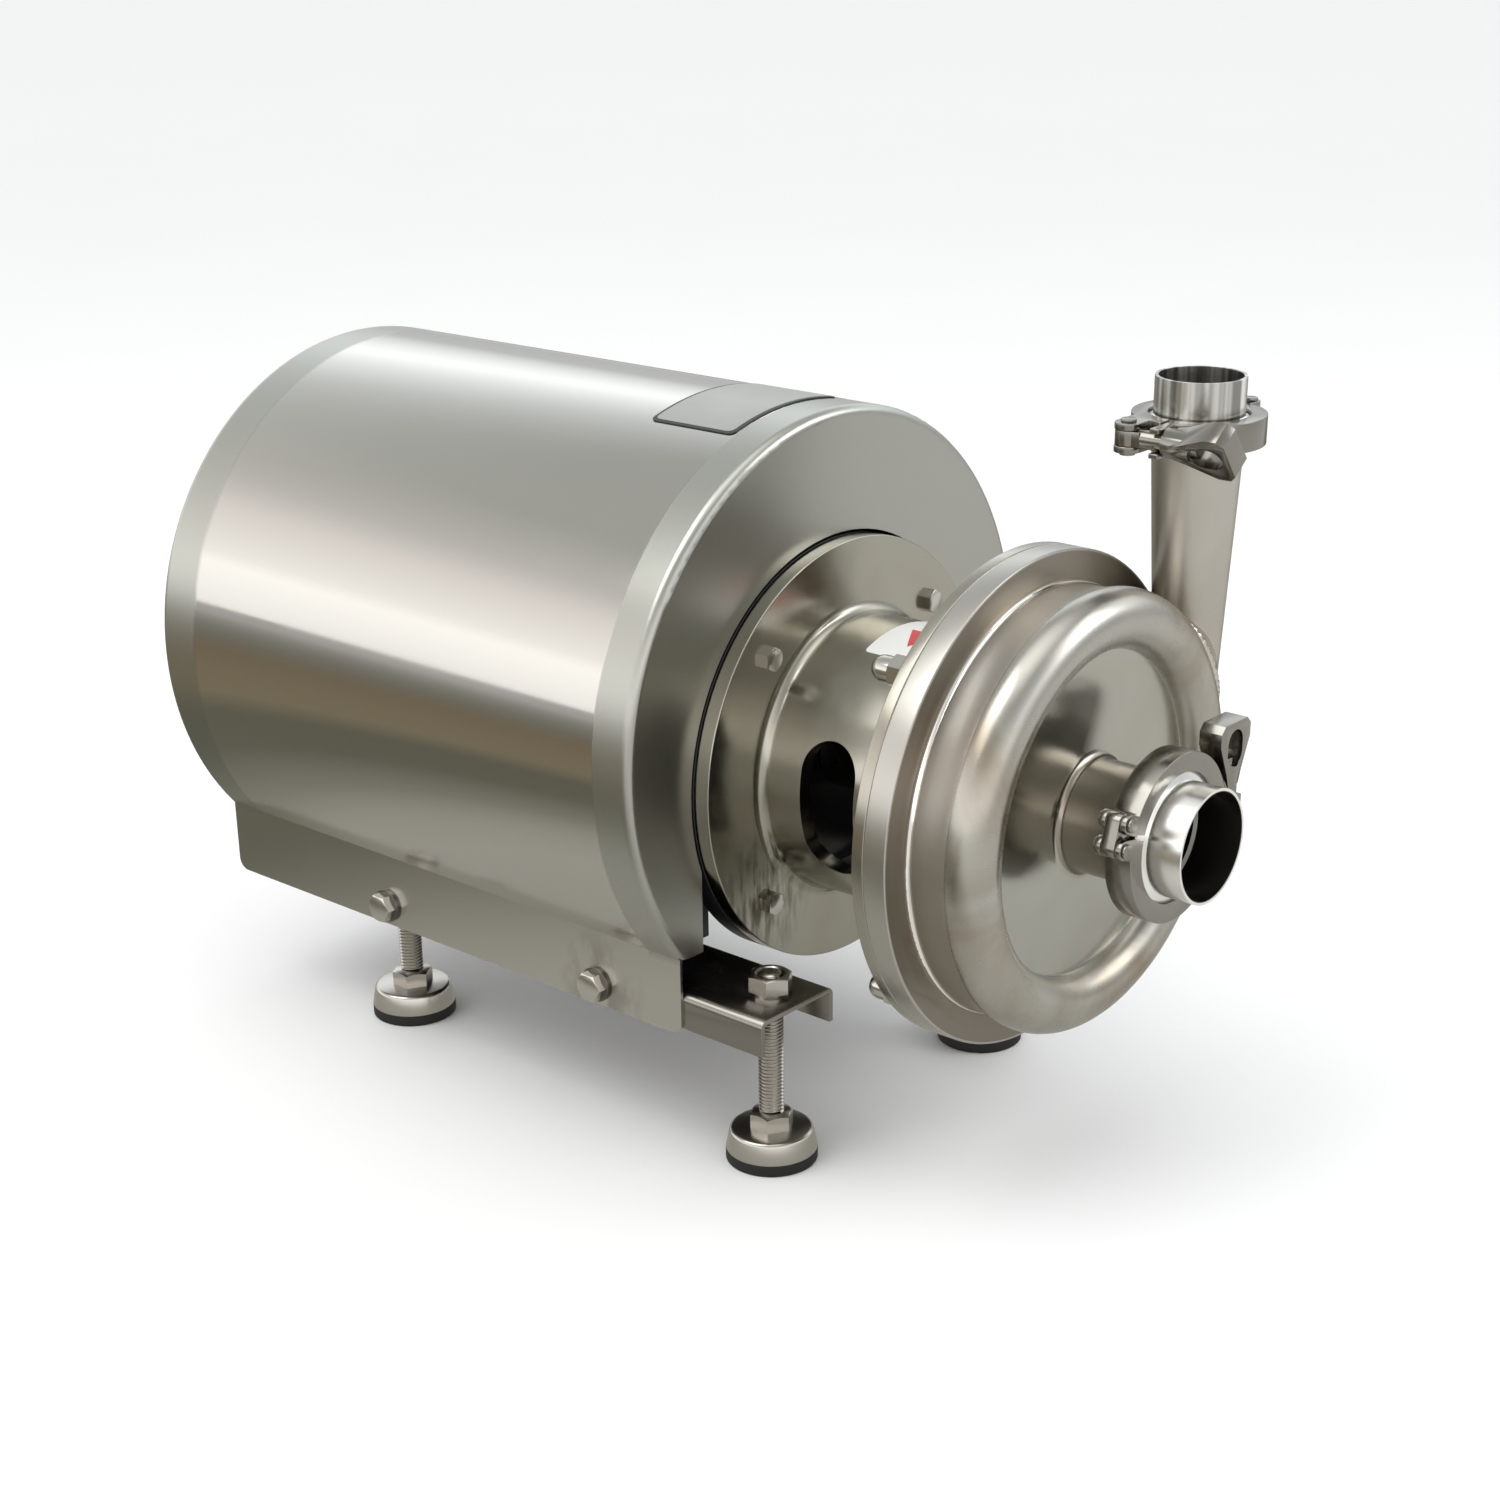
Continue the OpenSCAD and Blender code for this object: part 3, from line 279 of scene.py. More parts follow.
@dataclass(frozen=True)
class Finish:
    """A surface: what it is made of and how it was made.

    The plain finish varies a little in roughness, as any handled surface does.
    """

    name: str
    colour: str
    metallic: float
    roughness: float
    spread: float = 0.05
    patch_mm: float = 30.0
    patch_detail: float = 4.0
    patch_span: Point2 = (0.3, 0.7)
    bump_mm: float = 0.0
    bump_grain_mm: float = 0.6
    bump_detail: float = 3.0

    def material(self) -> bpy.types.Material:
        """Give the finish's material, made at the first call.

        Returns:
            The material.
        """
        known = bpy.data.materials.get(self.name)
        if known:
            return known
        material = bpy.data.materials.new(self.name)
        material.use_nodes = True
        tree = material.node_tree
        shader = tree.nodes["Principled BSDF"]
        shader.inputs["Base Color"].default_value = linear(self.colour)
        shader.inputs["Metallic"].default_value = self.metallic
        shader.inputs["Roughness"].default_value = self.roughness
        spot = add_node(tree, "ShaderNodeTexCoord").outputs["Object"]
        self.dress(Coat(tree, shader, spot))
        return material

    def dress(self, coat: Coat) -> None:
        """Add the finish's pattern to its shader.

        Args:
            coat: The material's nodes.
        """
        coat.tree.links.new(self.patchy_roughness(coat), coat.shader.inputs["Roughness"])
        if self.bump_mm:
            grain = coat.noise(coat.spot, 1 / (self.bump_grain_mm * MM), self.bump_detail)
            coat.bump(grain, self.bump_mm)

    def patchy_roughness(self, coat: Coat) -> Socket:
        """Vary the roughness in soft patches.

        Args:
            coat: The material's nodes.

        Returns:
            The roughness.
        """
        patches = coat.noise(coat.spot, 1 / (self.patch_mm * MM), self.patch_detail)
        ends = (self.roughness - self.spread, self.roughness + self.spread)
        return coat.remap(patches, self.patch_span, ends)


@dataclass(frozen=True)
class RolledSheet(Finish):
    """Stainless sheet: a smooth rolled middle between two brushed, matte end bands."""

    patch_detail: float = 5.0
    matte_roughness: float = 0.3
    matte_colour: str = "#adada6"
    # Bands: ends of the sheet, width and softness of each, how far their edges wave, and their lower end
    front_x: float = 59.9
    rear_x: float = -262.1
    front_band_mm: float = 21.0
    rear_band_mm: float = 26.0
    front_soft_mm: float = 0.4
    rear_soft_mm: float = 1.5
    wave_mm: float = 4.0
    wave_scale: float = 18.0
    band_low_mm: Point2 = (97.0, 101.0)
    # Brush lines: width, length scale, depth, and strength on the middle and on the bands
    brush_mm: float = 0.5
    brush_scale: float = 12.0
    brush_depth_mm: float = 0.06
    brush_strength: Point2 = (0.06, 0.35)
    brush_detail: float = 2.0
    # Low on the sides the sheet is handled and so duller
    handled_mm: Point2 = (150.0, 95.0)
    handled_roughness: float = 0.13
    smudge: Smudge = Smudge((8.0, -109.6, 73.6), 30.0, "#6b6256", 0.6)

    def dress(self, coat: Coat) -> None:
        """Mix the rolled middle and the brushed bands by the place along the barrel.

        Args:
            coat: The material's nodes.
        """
        parts = coat.split(coat.spot)
        wave = coat.noise(coat.spot, self.wave_scale, self.brush_detail)
        along = coat.compute("MULTIPLY_ADD", wave, self.wave_mm * MM, parts["X"])
        front = self.front_x - self.front_band_mm + self.wave_mm / 2
        rear = self.rear_x + self.rear_band_mm + self.wave_mm / 2
        front_span = ((front - self.front_soft_mm) * MM, (front + self.front_soft_mm) * MM)
        rear_span = ((rear + self.rear_soft_mm) * MM, (rear - self.rear_soft_mm) * MM)
        ends = coat.compute("MAXIMUM", coat.remap(along, front_span), coat.remap(along, rear_span))
        above = coat.remap(parts["Z"], (self.band_low_mm[0] * MM, self.band_low_mm[1] * MM))
        band = coat.compute("MULTIPLY", ends, above)
        handled_span = (self.handled_mm[0] * MM, self.handled_mm[1] * MM)
        low = coat.remap(parts["Z"], handled_span, (0.0, self.handled_roughness))
        handled = coat.compute("ADD", self.patchy_roughness(coat), low)
        coat.tree.links.new(handled, coat.shader.inputs["Roughness"])
        coat.roughness(self.matte_roughness, band)
        coat.colour(self.matte_colour, band)
        self.smudge.lay(coat)
        # Brush lines run round the barrel, drawn coarser than the real ones so that they show
        stretch = (1 / (self.brush_mm * MM), self.brush_scale, self.brush_scale)
        stretched = coat.vector("MULTIPLY", coat.spot, stretch).outputs["Vector"]
        lines = coat.noise(stretched, 1.0, self.brush_detail)
        coat.bump(lines, self.brush_depth_mm, coat.remap(band, (0.0, 1.0), self.brush_strength))


@dataclass(frozen=True)
class BlastedSteel(Finish):
    """Bead-blasted and pickled stainless, with warm clouds left by welding."""

    tint: str = "#9c8d78"
    tint_share: float = 0.35
    cloud_mm: float = 70.0
    cloud_detail: float = 5.0
    cloud_twist: float = 0.6
    cloud_span: Point2 = (0.48, 0.72)

    def dress(self, coat: Coat) -> None:
        """Tint the steel in clouds and give it a fine blasted grain.

        Args:
            coat: The material's nodes.
        """
        super().dress(coat)
        clouds = coat.noise(coat.spot, 1 / (self.cloud_mm * MM), self.cloud_detail, self.cloud_twist)
        coat.colour(self.tint, coat.remap(clouds, self.cloud_span, (0.0, self.tint_share)))


@dataclass(frozen=True)
class StainedSteel(BlastedSteel):
    """Satin cast stainless with an oily smudge round one bolt."""

    smudge: Smudge = Smudge((68.4, -64.0, 118.0), 36.0, "#4a4134")

    def dress(self, coat: Coat) -> None:
        """Add the smudge to the tinted steel."""
        super().dress(coat)
        self.smudge.lay(coat)


@dataclass(frozen=True)
class Zone:
    """Part of a turned piece with a finish of its own, or with painted light or shade, by its place along the
    shaft and round it.
    """

    x: Point2
    radius: Point2
    roughness: float
    colour: str
    share: float = 1.0


@dataclass(frozen=True)
class ZonedSteel(BlastedSteel):
    """Blasted stainless with zones that were turned, ground or heated by a weld, and zones lightened or
    darkened as painted light and shade.
    """

    zones: Sequence[Zone] = ()

    def dress(self, coat: Coat) -> None:
        """Lay the zones over the blasted steel.

        Args:
            coat: The material's nodes.
        """
        super().dress(coat)
        flat = coat.vector("MULTIPLY", coat.spot, (0.0, 1.0, 1.0)).outputs["Vector"]
        away = coat.vector("DISTANCE", flat, (0.0, 0.0, AXIS_H * MM)).outputs["Value"]
        along = coat.split(coat.spot)["X"]
        for zone in self.zones:
            inside = [
                coat.compute("COMPARE", value, (low + high) / 2 * MM, (high - low) / 2 * MM)
                for value, (low, high) in ((along, zone.x), (away, zone.radius))
            ]
            mask = coat.compute("MULTIPLY", *inside)
            coat.colour(zone.colour, coat.compute("MULTIPLY", mask, zone.share))
            coat.roughness(zone.roughness, mask)


@dataclass(frozen=True)
class DrawnTube(ZonedSteel):
    """Drawn tube, with darker streaks along the outlet, partly brushing marks and partly painted reflections.
    """

    streak_deg: float = 22.0
    streak_span: Point2 = (0.62, 0.4)
    streak_detail: float = 2.0
    streak_roughness: float = 0.6
    # Colour of the streaks, partly brushing marks and partly painted reflections
    dull: str = "#8f8d88"
    outlet_at: Point3 = (133.0 + SHIFT_X, 86.0, 300.0)

    def dress(self, coat: Coat) -> None:
        """Draw the streaks, partly brushing marks and partly painted reflections, by the angle round the
        outlet's axis.

        Args:
            coat: The material's nodes.
        """
        super().dress(coat)
        away = coat.vector("SUBTRACT", coat.spot, Vector(self.outlet_at) * MM).outputs["Vector"]
        parts = coat.split(away)
        angle = coat.compute("ARCTAN2", parts["Y"], parts["X"])
        settings = {
            "noise_dimensions": "1D",
            "Scale": 1 / math.radians(self.streak_deg),
            "Detail": self.streak_detail,
            "Roughness": self.streak_roughness,
        }
        streaks = add_node(coat.tree, "ShaderNodeTexNoise", settings, {"W": angle}).outputs["Fac"]
        dulled = coat.remap(streaks, self.streak_span)
        upper = coat.compute("GREATER_THAN", parts["Z"], 0.0)
        # Streaks on the upper tube only: brushing marks with painted reflections
        coat.colour(self.dull, coat.compute("MULTIPLY", dulled, upper))


SHEET = RolledSheet("rolled stainless sheet", "#c3c0ba", 1.0, 0.085, spread=0.02, patch_mm=60)
FRONT_SHEET = Finish("brushed stainless sheet", "#b3b0aa", 1.0, 0.4, bump_mm=0.02, bump_grain_mm=0.8)
CASING_STEEL = ZonedSteel(
    "bead-blasted stainless", "#b2afa7", 1.0, 0.28, spread=0.04, patch_mm=24, bump_mm=0.004,
    bump_grain_mm=1.2, tint="#8a7860", tint_share=0.7, cloud_mm=60.0,
    zones=(
        # Flange turned on a lathe, then its face, the ground weld beside it and the drum, which carry painted
        # shade and painted light
        Zone((150.0, 177.0), (104.5, 130.0), 0.3, "#b6b3ad", 0.8),
        # Flange face: browned by the weld, and darkened as painted shade in the corner by the drum
        Zone((175.0, 175.9), (97.5, 110.6), 0.28, "#6f6455", 0.7),
        # Ground weld: polished, its colour lightened into a painted highlight line
        Zone((175.9, 178.0), (96.0, 99.2), 0.14, "#f4f1eb"),
        # Drum: satin, its colour lightened as a painted reflection of the light from the left
        Zone((178.0, 196.0), (94.0, 100.5), 0.35, "#d0cbc4", 0.7),
        # Discharge, rougher, its colour lightened all round as a painted reflection
        Zone((178.0, 225.0), (101.0, 300.0), 0.38, "#c0bcb4", 0.7),
        # Recessed front, rolled smooth, and the neck welded into it
        Zone((180.0, 260.0), (0.0, 73.0), 0.19, "#aeada4", 0.75),
        Zone((200.5, 260.0), (0.0, 27.0), 0.22, "#857868", 0.55),
    ),
)
LANTERN_STEEL = StainedSteel(
    "satin cast stainless", "#a8a59a", 1.0, 0.2, patch_mm=26, bump_mm=0.004, bump_grain_mm=1.2
)
POLISHED = Finish("polished stainless", "#c4c1bb", 1.0, 0.15, patch_mm=12)
CLAMP_STEEL = Finish("satin cast clamp steel", "#8d8a83", 1.0, 0.19, patch_mm=8, bump_mm=0.01)
BOLT_STEEL = Finish("bright bolt steel", "#c9c6c0", 1.0, 0.2, spread=0.02, patch_mm=5)
# Washers of duller steel, darkened further as painted shade round the bolt heads
WASHER_STEEL = Finish("dull washer steel", "#6d6a64", 1.0, 0.3, spread=0.03, patch_mm=5)
FOOT_STEEL = Finish("turned foot steel", "#bebab3", 1.0, 0.24, spread=0.02, patch_mm=8)
TUBE_STEEL = DrawnTube(
    "drawn stainless tube", "#efeeea", 1.0, 0.23, spread=0.02, tint_share=0.0,
    # Inlet bore, rougher, its colour darkened as painted shade inside the tube
    zones=(Zone((200.0, 270.0), (0.0, 24.2), 0.3, "#65625c"),),
)
RAIL_STEEL = Finish("cold-rolled stainless rail", "#908c85", 1.0, 0.27, spread=0.02, patch_mm=40)
WELD = Finish("brushed weld bead", "#c9c4ba", 1.0, 0.22, spread=0.08, patch_mm=4)
MACHINED = Finish("machined steel", "#8d8b86", 1.0, 0.3)
BLACK_PAINT = Finish("black enamel", "#1b1c1e", 0.0, 0.42, spread=0.06, bump_mm=0.03)
RUBBER = Finish("moulded rubber", "#141414", 0.0, 0.75, bump_mm=0.05)
PLASTIC = Finish("black polyamide", "#1a1a1b", 0.0, 0.5, bump_mm=0.03)
COPPER = Finish("varnished winding", "#8a4c25", 0.6, 0.4, bump_mm=0.2, bump_grain_mm=2.0)
WHITE_SEAL = Finish("white silicone", "#e4e2da", 0.0, 0.55)
CARBON = Finish("lapped carbon", "#202022", 0.0, 0.3)
PLATE_METAL = Finish("anodised aluminium plate", "#a9a8a4", 0.8, 0.42)
PLATE_INK = Finish("black print", "#23221f", 0.0, 0.45)
PAPER = Finish("white film", "#e9e9e6", 0.0, 0.4)
RED_INK = Finish("red print", "#c8202b", 0.0, 0.4)
FLOOR_PAINT = Finish("pale floor", "#f4f4f4", 0.0, 0.6, spread=0.02, patch_mm=200)


# Mesh helpers


def finish_mesh(bm: Mesh) -> None:
    """Merge doubled vertices and turn the faces outwards."""
    bmesh.ops.remove_doubles(bm, verts=bm.verts, dist=MERGE_M)
    bmesh.ops.recalc_face_normals(bm, faces=bm.faces)


def round_corners(bm: Mesh, corners: Sequence[bmesh.types.BMVert], width: float) -> None:
    """Round corners of an outline.

    Args:
        bm: Mesh that holds the outline.
        corners: Its corners.
        width: Width of the rounding, in the mesh's own unit.
    """
    bmesh.ops.bevel(
        bm,
        geom=corners,
        offset=width,
        offset_type="OFFSET",
        segments=ROUND_STEPS,
        profile=0.5,
        affect="VERTICES",
        material=-1,
    )


def lathe(profile: Sequence[Point2], rounds: Mapping[int, float] | None = None, segments: int = 64) -> Mesh:
    """Turn a profile about the Z axis.

    Args:
        profile: Points as (radius, height), in millimetres.
        rounds: Rounding radius by the number of the point.
        segments: Steps of the full turn.

    Returns:
        The turned mesh, in metres.
    """
    bm = bmesh.new()
    verts = [bm.verts.new((r * MM, 0.0, z * MM)) for r, z in profile]
    for pair in zip(verts, verts[1:]):
        bm.edges.new(pair)
    for number, radius in (rounds or {}).items():
        round_corners(bm, [verts[number]], radius * MM)
    bmesh.ops.spin(
        bm,
        geom=list(bm.verts) + list(bm.edges),
        cent=(0, 0, 0),
        axis=(0, 0, 1),
        dvec=(0, 0, 0),
        angle=math.tau,
        steps=segments,
        use_merge=True,
    )
    finish_mesh(bm)
    return bm


@dataclass(frozen=True)
class Thread:
    """Screw thread that runs out into a low dome at its upper end."""

    radius: float
    depth: float
    pitch: float
    segments: int = 20
    # Crest between these shares of the pitch
    crest: Point2 = (0.4, 0.6)
    # Dome: height, its edge inwards and upwards, rounding, and where the thread dies into it, in pitches
    dome_h: float = 1.0
    dome_edge: Point2 = (1.0, 0.7)
    dome_round: float = 0.8
    dome_depth: float = 0.6
    dome_turns: Point2 = (1.4, 2.6)

    def rod(self, low: float, high: float) -> Mesh:
        """Wind the thread as one helix along Z.

        Args:
            low: Lower end.
            high: Upper end, without the dome.

        Returns:
            The thread, in metres.
        """
        bm = bmesh.new()
        root = self.radius - self.depth
        crest = [(self.radius, low + self.pitch * share) for share in self.crest]
        points = [(root, low), *crest, (root, low + self.pitch)]
        verts = [bm.verts.new((r * MM, 0.0, z * MM)) for r, z in points]
        edges = [bm.edges.new(pair) for pair in zip(verts, verts[1:])]
        turns = int((high - low) / self.pitch) - 1
        bmesh.ops.spin(
            bm,
            geom=verts + edges,
            cent=(0, 0, 0),
            axis=(0, 0, 1),
            dvec=(0, 0, self.pitch * MM / self.segments),
            angle=math.tau * turns,
            steps=self.segments * turns,
            use_merge=False,
        )
        finish_mesh(bm)
        dome = [
            (0.0, high + self.dome_h),
            (root - self.dome_edge[0], high + self.dome_edge[1]),
            (root, high),
            (self.radius - self.depth * self.dome_depth, high - self.pitch * self.dome_turns[0]),
            (root, high - self.pitch * self.dome_turns[1]),
        ]
        join(bm, lathe(dome, {1: self.dome_round}))
        return bm


@dataclass(frozen=True)
class Hexagon:
    """Hexagon with its corners turned off at the top, as a bolt head or nut has."""

    flats: float
    # Radius of a countersunk hole in the top, its depth, and depth and growth of the countersink
    bore: float = 0.0
    bore_depth: float = 2.0
    sink_depth: float = 0.8
    sink_growth: float = 0.9
    # Radius and thickness of a collar under the hexagon
    collar: Point2 | None = None
    face_share: float = 0.475
    chamfer_deg: float = 30.0
    segments: int = 48

    def reach(self, angle: float) -> float:
        """Give the radius of the outline at an angle."""
        sixth = math.tau / 6
        return self.flats / 2 / math.cos((angle % sixth) - sixth / 2)

    def rings(self, low: float, high: float) -> list[Callable[[float], Point2]]:
        """List the rings of the block, from the top down.

        Args:
            low: Lower end of the hexagon.
            high: Upper end.

        Returns:
            Functions from the angle to radius and height.
        """
        top = self.flats * self.face_share
        slope = math.tan(math.radians(self.chamfer_deg))
        rings: list[Callable[[float], Point2]] = []
        if self.bore:
            rings += [
                lambda a: (self.bore, high - self.bore_depth),
                lambda a: (self.bore, high - self.sink_depth),
                lambda a: (self.bore + self.sink_growth, high),
            ]
        rings += [
            lambda a: (top, high),
            lambda a: (self.reach(a), high - (self.reach(a) - top) * slope),
            lambda a: (self.reach(a), low),
        ]
        if self.collar:
            radius, thick = self.collar
            rings += [lambda a: (radius, low), lambda a: (radius, low - thick)]
        return rings

    def block(self, low: float, high: float) -> Mesh:
        """Make the block about the Z axis.

        Args:
            low: Lower end of the hexagon.
            high: Upper end.

        Returns:
            The block, in metres.
        """
        bm = bmesh.new()
        bmesh.ops.create_circle(bm, cap_ends=not self.bore, radius=1.0, segments=self.segments)
        layer = bm.verts.layers.float.new("angle")
        for v in bm.verts:
            v[layer] = math.atan2(v.co.y, v.co.x) % math.tau
        edges = list(bm.edges)
        loop = list(bm.verts)
        for number, ring in enumerate(self.rings(low, high)):
            if number:
                grown = bmesh.ops.extrude_edge_only(bm, edges=edges)["geom"]
                fresh = [g for g in grown if isinstance(g, bmesh.types.BMEdge)]
                edges = [e for e in fresh if all(v not in loop for v in e.verts)]
                loop = [g for g in grown if isinstance(g, bmesh.types.BMVert)]
            for v in loop:
                radius, height = ring(v[layer])
                v.co = Vector((math.cos(v[layer]) * radius, math.sin(v[layer]) * radius, height)) * MM
        finish_mesh(bm)
        return bm


def join(target: Mesh, other: Mesh) -> None:
    """Add one mesh to another and free it.

    Args:
        target: Mesh that grows.
        other: Mesh that is added and freed.
    """
    mesh = bpy.data.meshes.new("joined")
    other.to_mesh(mesh)
    other.free()
    target.from_mesh(mesh)
    bpy.data.meshes.remove(mesh)


def turn_to(axis: Axis, sign: int = 1) -> Matrix:
    """Give the turn from the Z axis to another axis, or to its opposite with a sign of -1."""
    return Vector((0, 0, 1)).rotation_difference(Vector(axis.value) * sign).to_matrix().to_4x4()


def place(bm: Mesh, at: Point3, turn: Matrix | None = None) -> Mesh:
    """Turn a mesh and move it to its place.

    Args:
        bm: Mesh about the origin.
        at: Its place in the part's frame, in millimetres.
        turn: Rotation before the move.

    Returns:
        The same mesh.
    """
    matrix = Matrix.Translation(Vector(at) * MM) @ (turn or Matrix.Identity(4))
    bmesh.ops.transform(bm, matrix=matrix, verts=bm.verts)
    return bm


@dataclass(frozen=True)
class Label:
    """Thin label that is cut flat and bent round an axis along the shaft."""

    x_span: Point2
    degrees: Point2
    radius: float
    centre_h: float
    corner: float = 2.0
    cells: int = 24
    gap: float = 0.02

    def sheet(self, inset: float = 0.0) -> Mesh:
        """Cut the label flat.

        Args:
            inset: How far the outline is moved in.

        Returns:
            A flat sheet in millimetres, with the arc length as Y.
        """
        low, high = self.x_span
        arc = [math.radians(v) * self.radius for v in self.degrees]
        size = Vector(((high - low) / 2 - inset, (arc[1] - arc[0]) / 2 - inset))
        bm = bmesh.new()
        bmesh.ops.create_grid(bm, x_segments=2, y_segments=self.cells, size=1.0)
        bmesh.ops.scale(bm, vec=(size.x, size.y, 1.0), verts=bm.verts)
        corners = [v for v in bm.verts if len(v.link_edges) == 2]
        round_corners(bm, corners, self.corner)
        bmesh.ops.translate(bm, vec=((low + high) / 2, (arc[0] + arc[1]) / 2, 0.0), verts=bm.verts)
        return bm

    def wrap(self, bm: Mesh, thick: float) -> Mesh:
        """Give a flat sheet its thickness and bend it.

        Args:
            bm: Flat sheet in millimetres, with the arc length as Y.
            thick: Thickness of the sheet.

        Returns:
            The same mesh, in metres.
        """
        bmesh.ops.solidify(bm, geom=bm.faces, thickness=-thick)
        for v in bm.verts:
            angle = v.co.y / self.radius
            reach = self.radius + self.gap + abs(v.co.z)
            bent = (v.co.x + SHIFT_X, math.sin(angle) * reach, self.centre_h + math.cos(angle) * reach)
            v.co = Vector(bent) * MM
        finish_mesh(bm)
        return bm


@dataclass(frozen=True)
class Rounding:
    """Rounding of the edges that are sharper than an angle."""

    width: float
    angle_deg: float = 28.0
    segments: int = 2
    flat_deg: float = 0.4

    def copy_of(self, node: str) -> Mesh:
        """Copy a CAD node and round its sharp edges.

        Args:
            node: Name of the CAD node.

        Returns:
            The rounded copy, in metres.
        """
        bm = bmesh.new()
        bm.from_mesh(bpy.data.objects[node].data)
        finish_mesh(bm)
        bmesh.ops.dissolve_limit(bm, angle_limit=math.radians(self.flat_deg), verts=bm.verts, edges=bm.edges)
        limit = math.radians(self.angle_deg)
        sharp = [e for e in bm.edges if len(e.link_faces) == 2 and e.calc_face_angle(0.0) > limit]
        bmesh.ops.bevel(
            bm,
            geom=sharp,
            offset=self.width * MM,
            offset_type="OFFSET",
            segments=self.segments,
            profile=0.5,
            affect="EDGES",
            clamp_overlap=True,
            loop_slide=True,
            material=-1,
        )
        return bm


RAIL_EDGE = Rounding(0.4)
LINK_EDGE = Rounding(0.4)
LANTERN_EDGE = Rounding(0.7)
CASING_EDGE = Rounding(0.5, 50.0)
CLAMP_EDGE = Rounding(0.8, 30.0, 3)
SWING_BOLT_EDGE = Rounding(0.4, 30.0, 3)
WING_EDGE = Rounding(1.2, 30.0, 3)


def new_piece(
    name: str,
    bm: Mesh,
    finish: Finish,
    replaced: Sequence[str] = (),
    body: str = Body.FRAME.value,
    smooth_deg: float = SMOOTH_DEG,
) -> None:
    """Turn a mesh into a finished piece of the pump.

    Args:
        name: Name of the piece.
        bm: Its mesh, which is freed.
        finish: Its finish.
        replaced: CAD nodes that it stands for.
        body: CAD body that it rides on.
        smooth_deg: Edges sharper than this stay sharp.
    """
    mesh = bpy.data.meshes.new(name)
    bm.to_mesh(mesh)
    bm.free()
    mesh.shade_smooth()
    mesh.set_sharp_from_angle(angle=math.radians(smooth_deg))
    mesh.materials.append(finish.material())
    piece = bpy.data.objects.new(name, mesh)
    bpy.context.scene.collection.objects.link(piece)
    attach(piece, body)
    if replaced:
        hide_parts(*replaced)
    LOG.info("%s: %d faces on %s", name, len(mesh.polygons), body)


def dress_nodes(nodes: CadNodes, finishes: Mapping[str, Finish]) -> None:
    """Give CAD nodes that stay their finish.

    Args:
        nodes: The CAD nodes by name.
        finishes: Finish by node name.
    """
    for name, finish in finishes.items():
        mesh = nodes[name].data
        mesh.materials.clear()
        mesh.materials.append(finish.material())
        LOG.info("%s: %s", name, finish.name)


# Stage


@dataclass(frozen=True)
class Softbox:
    """Square area light: its place and target in metres, its side and its power in watts."""

    name: str
    at: Point3
    target: Point3
    side: float
    power: float

    def build(self) -> None:
        """Hang the light."""
        data = bpy.data.lights.new(self.name, "AREA")
        data.size = self.side
        data.energy = self.power
        light = bpy.data.objects.new(self.name, data)
        facing = (Vector(self.target) - Vector(self.at)).to_track_quat("-Z", "Y").to_matrix().to_4x4()
        light.matrix_world = Matrix.Translation(self.at) @ facing
        bpy.context.scene.collection.objects.link(light)


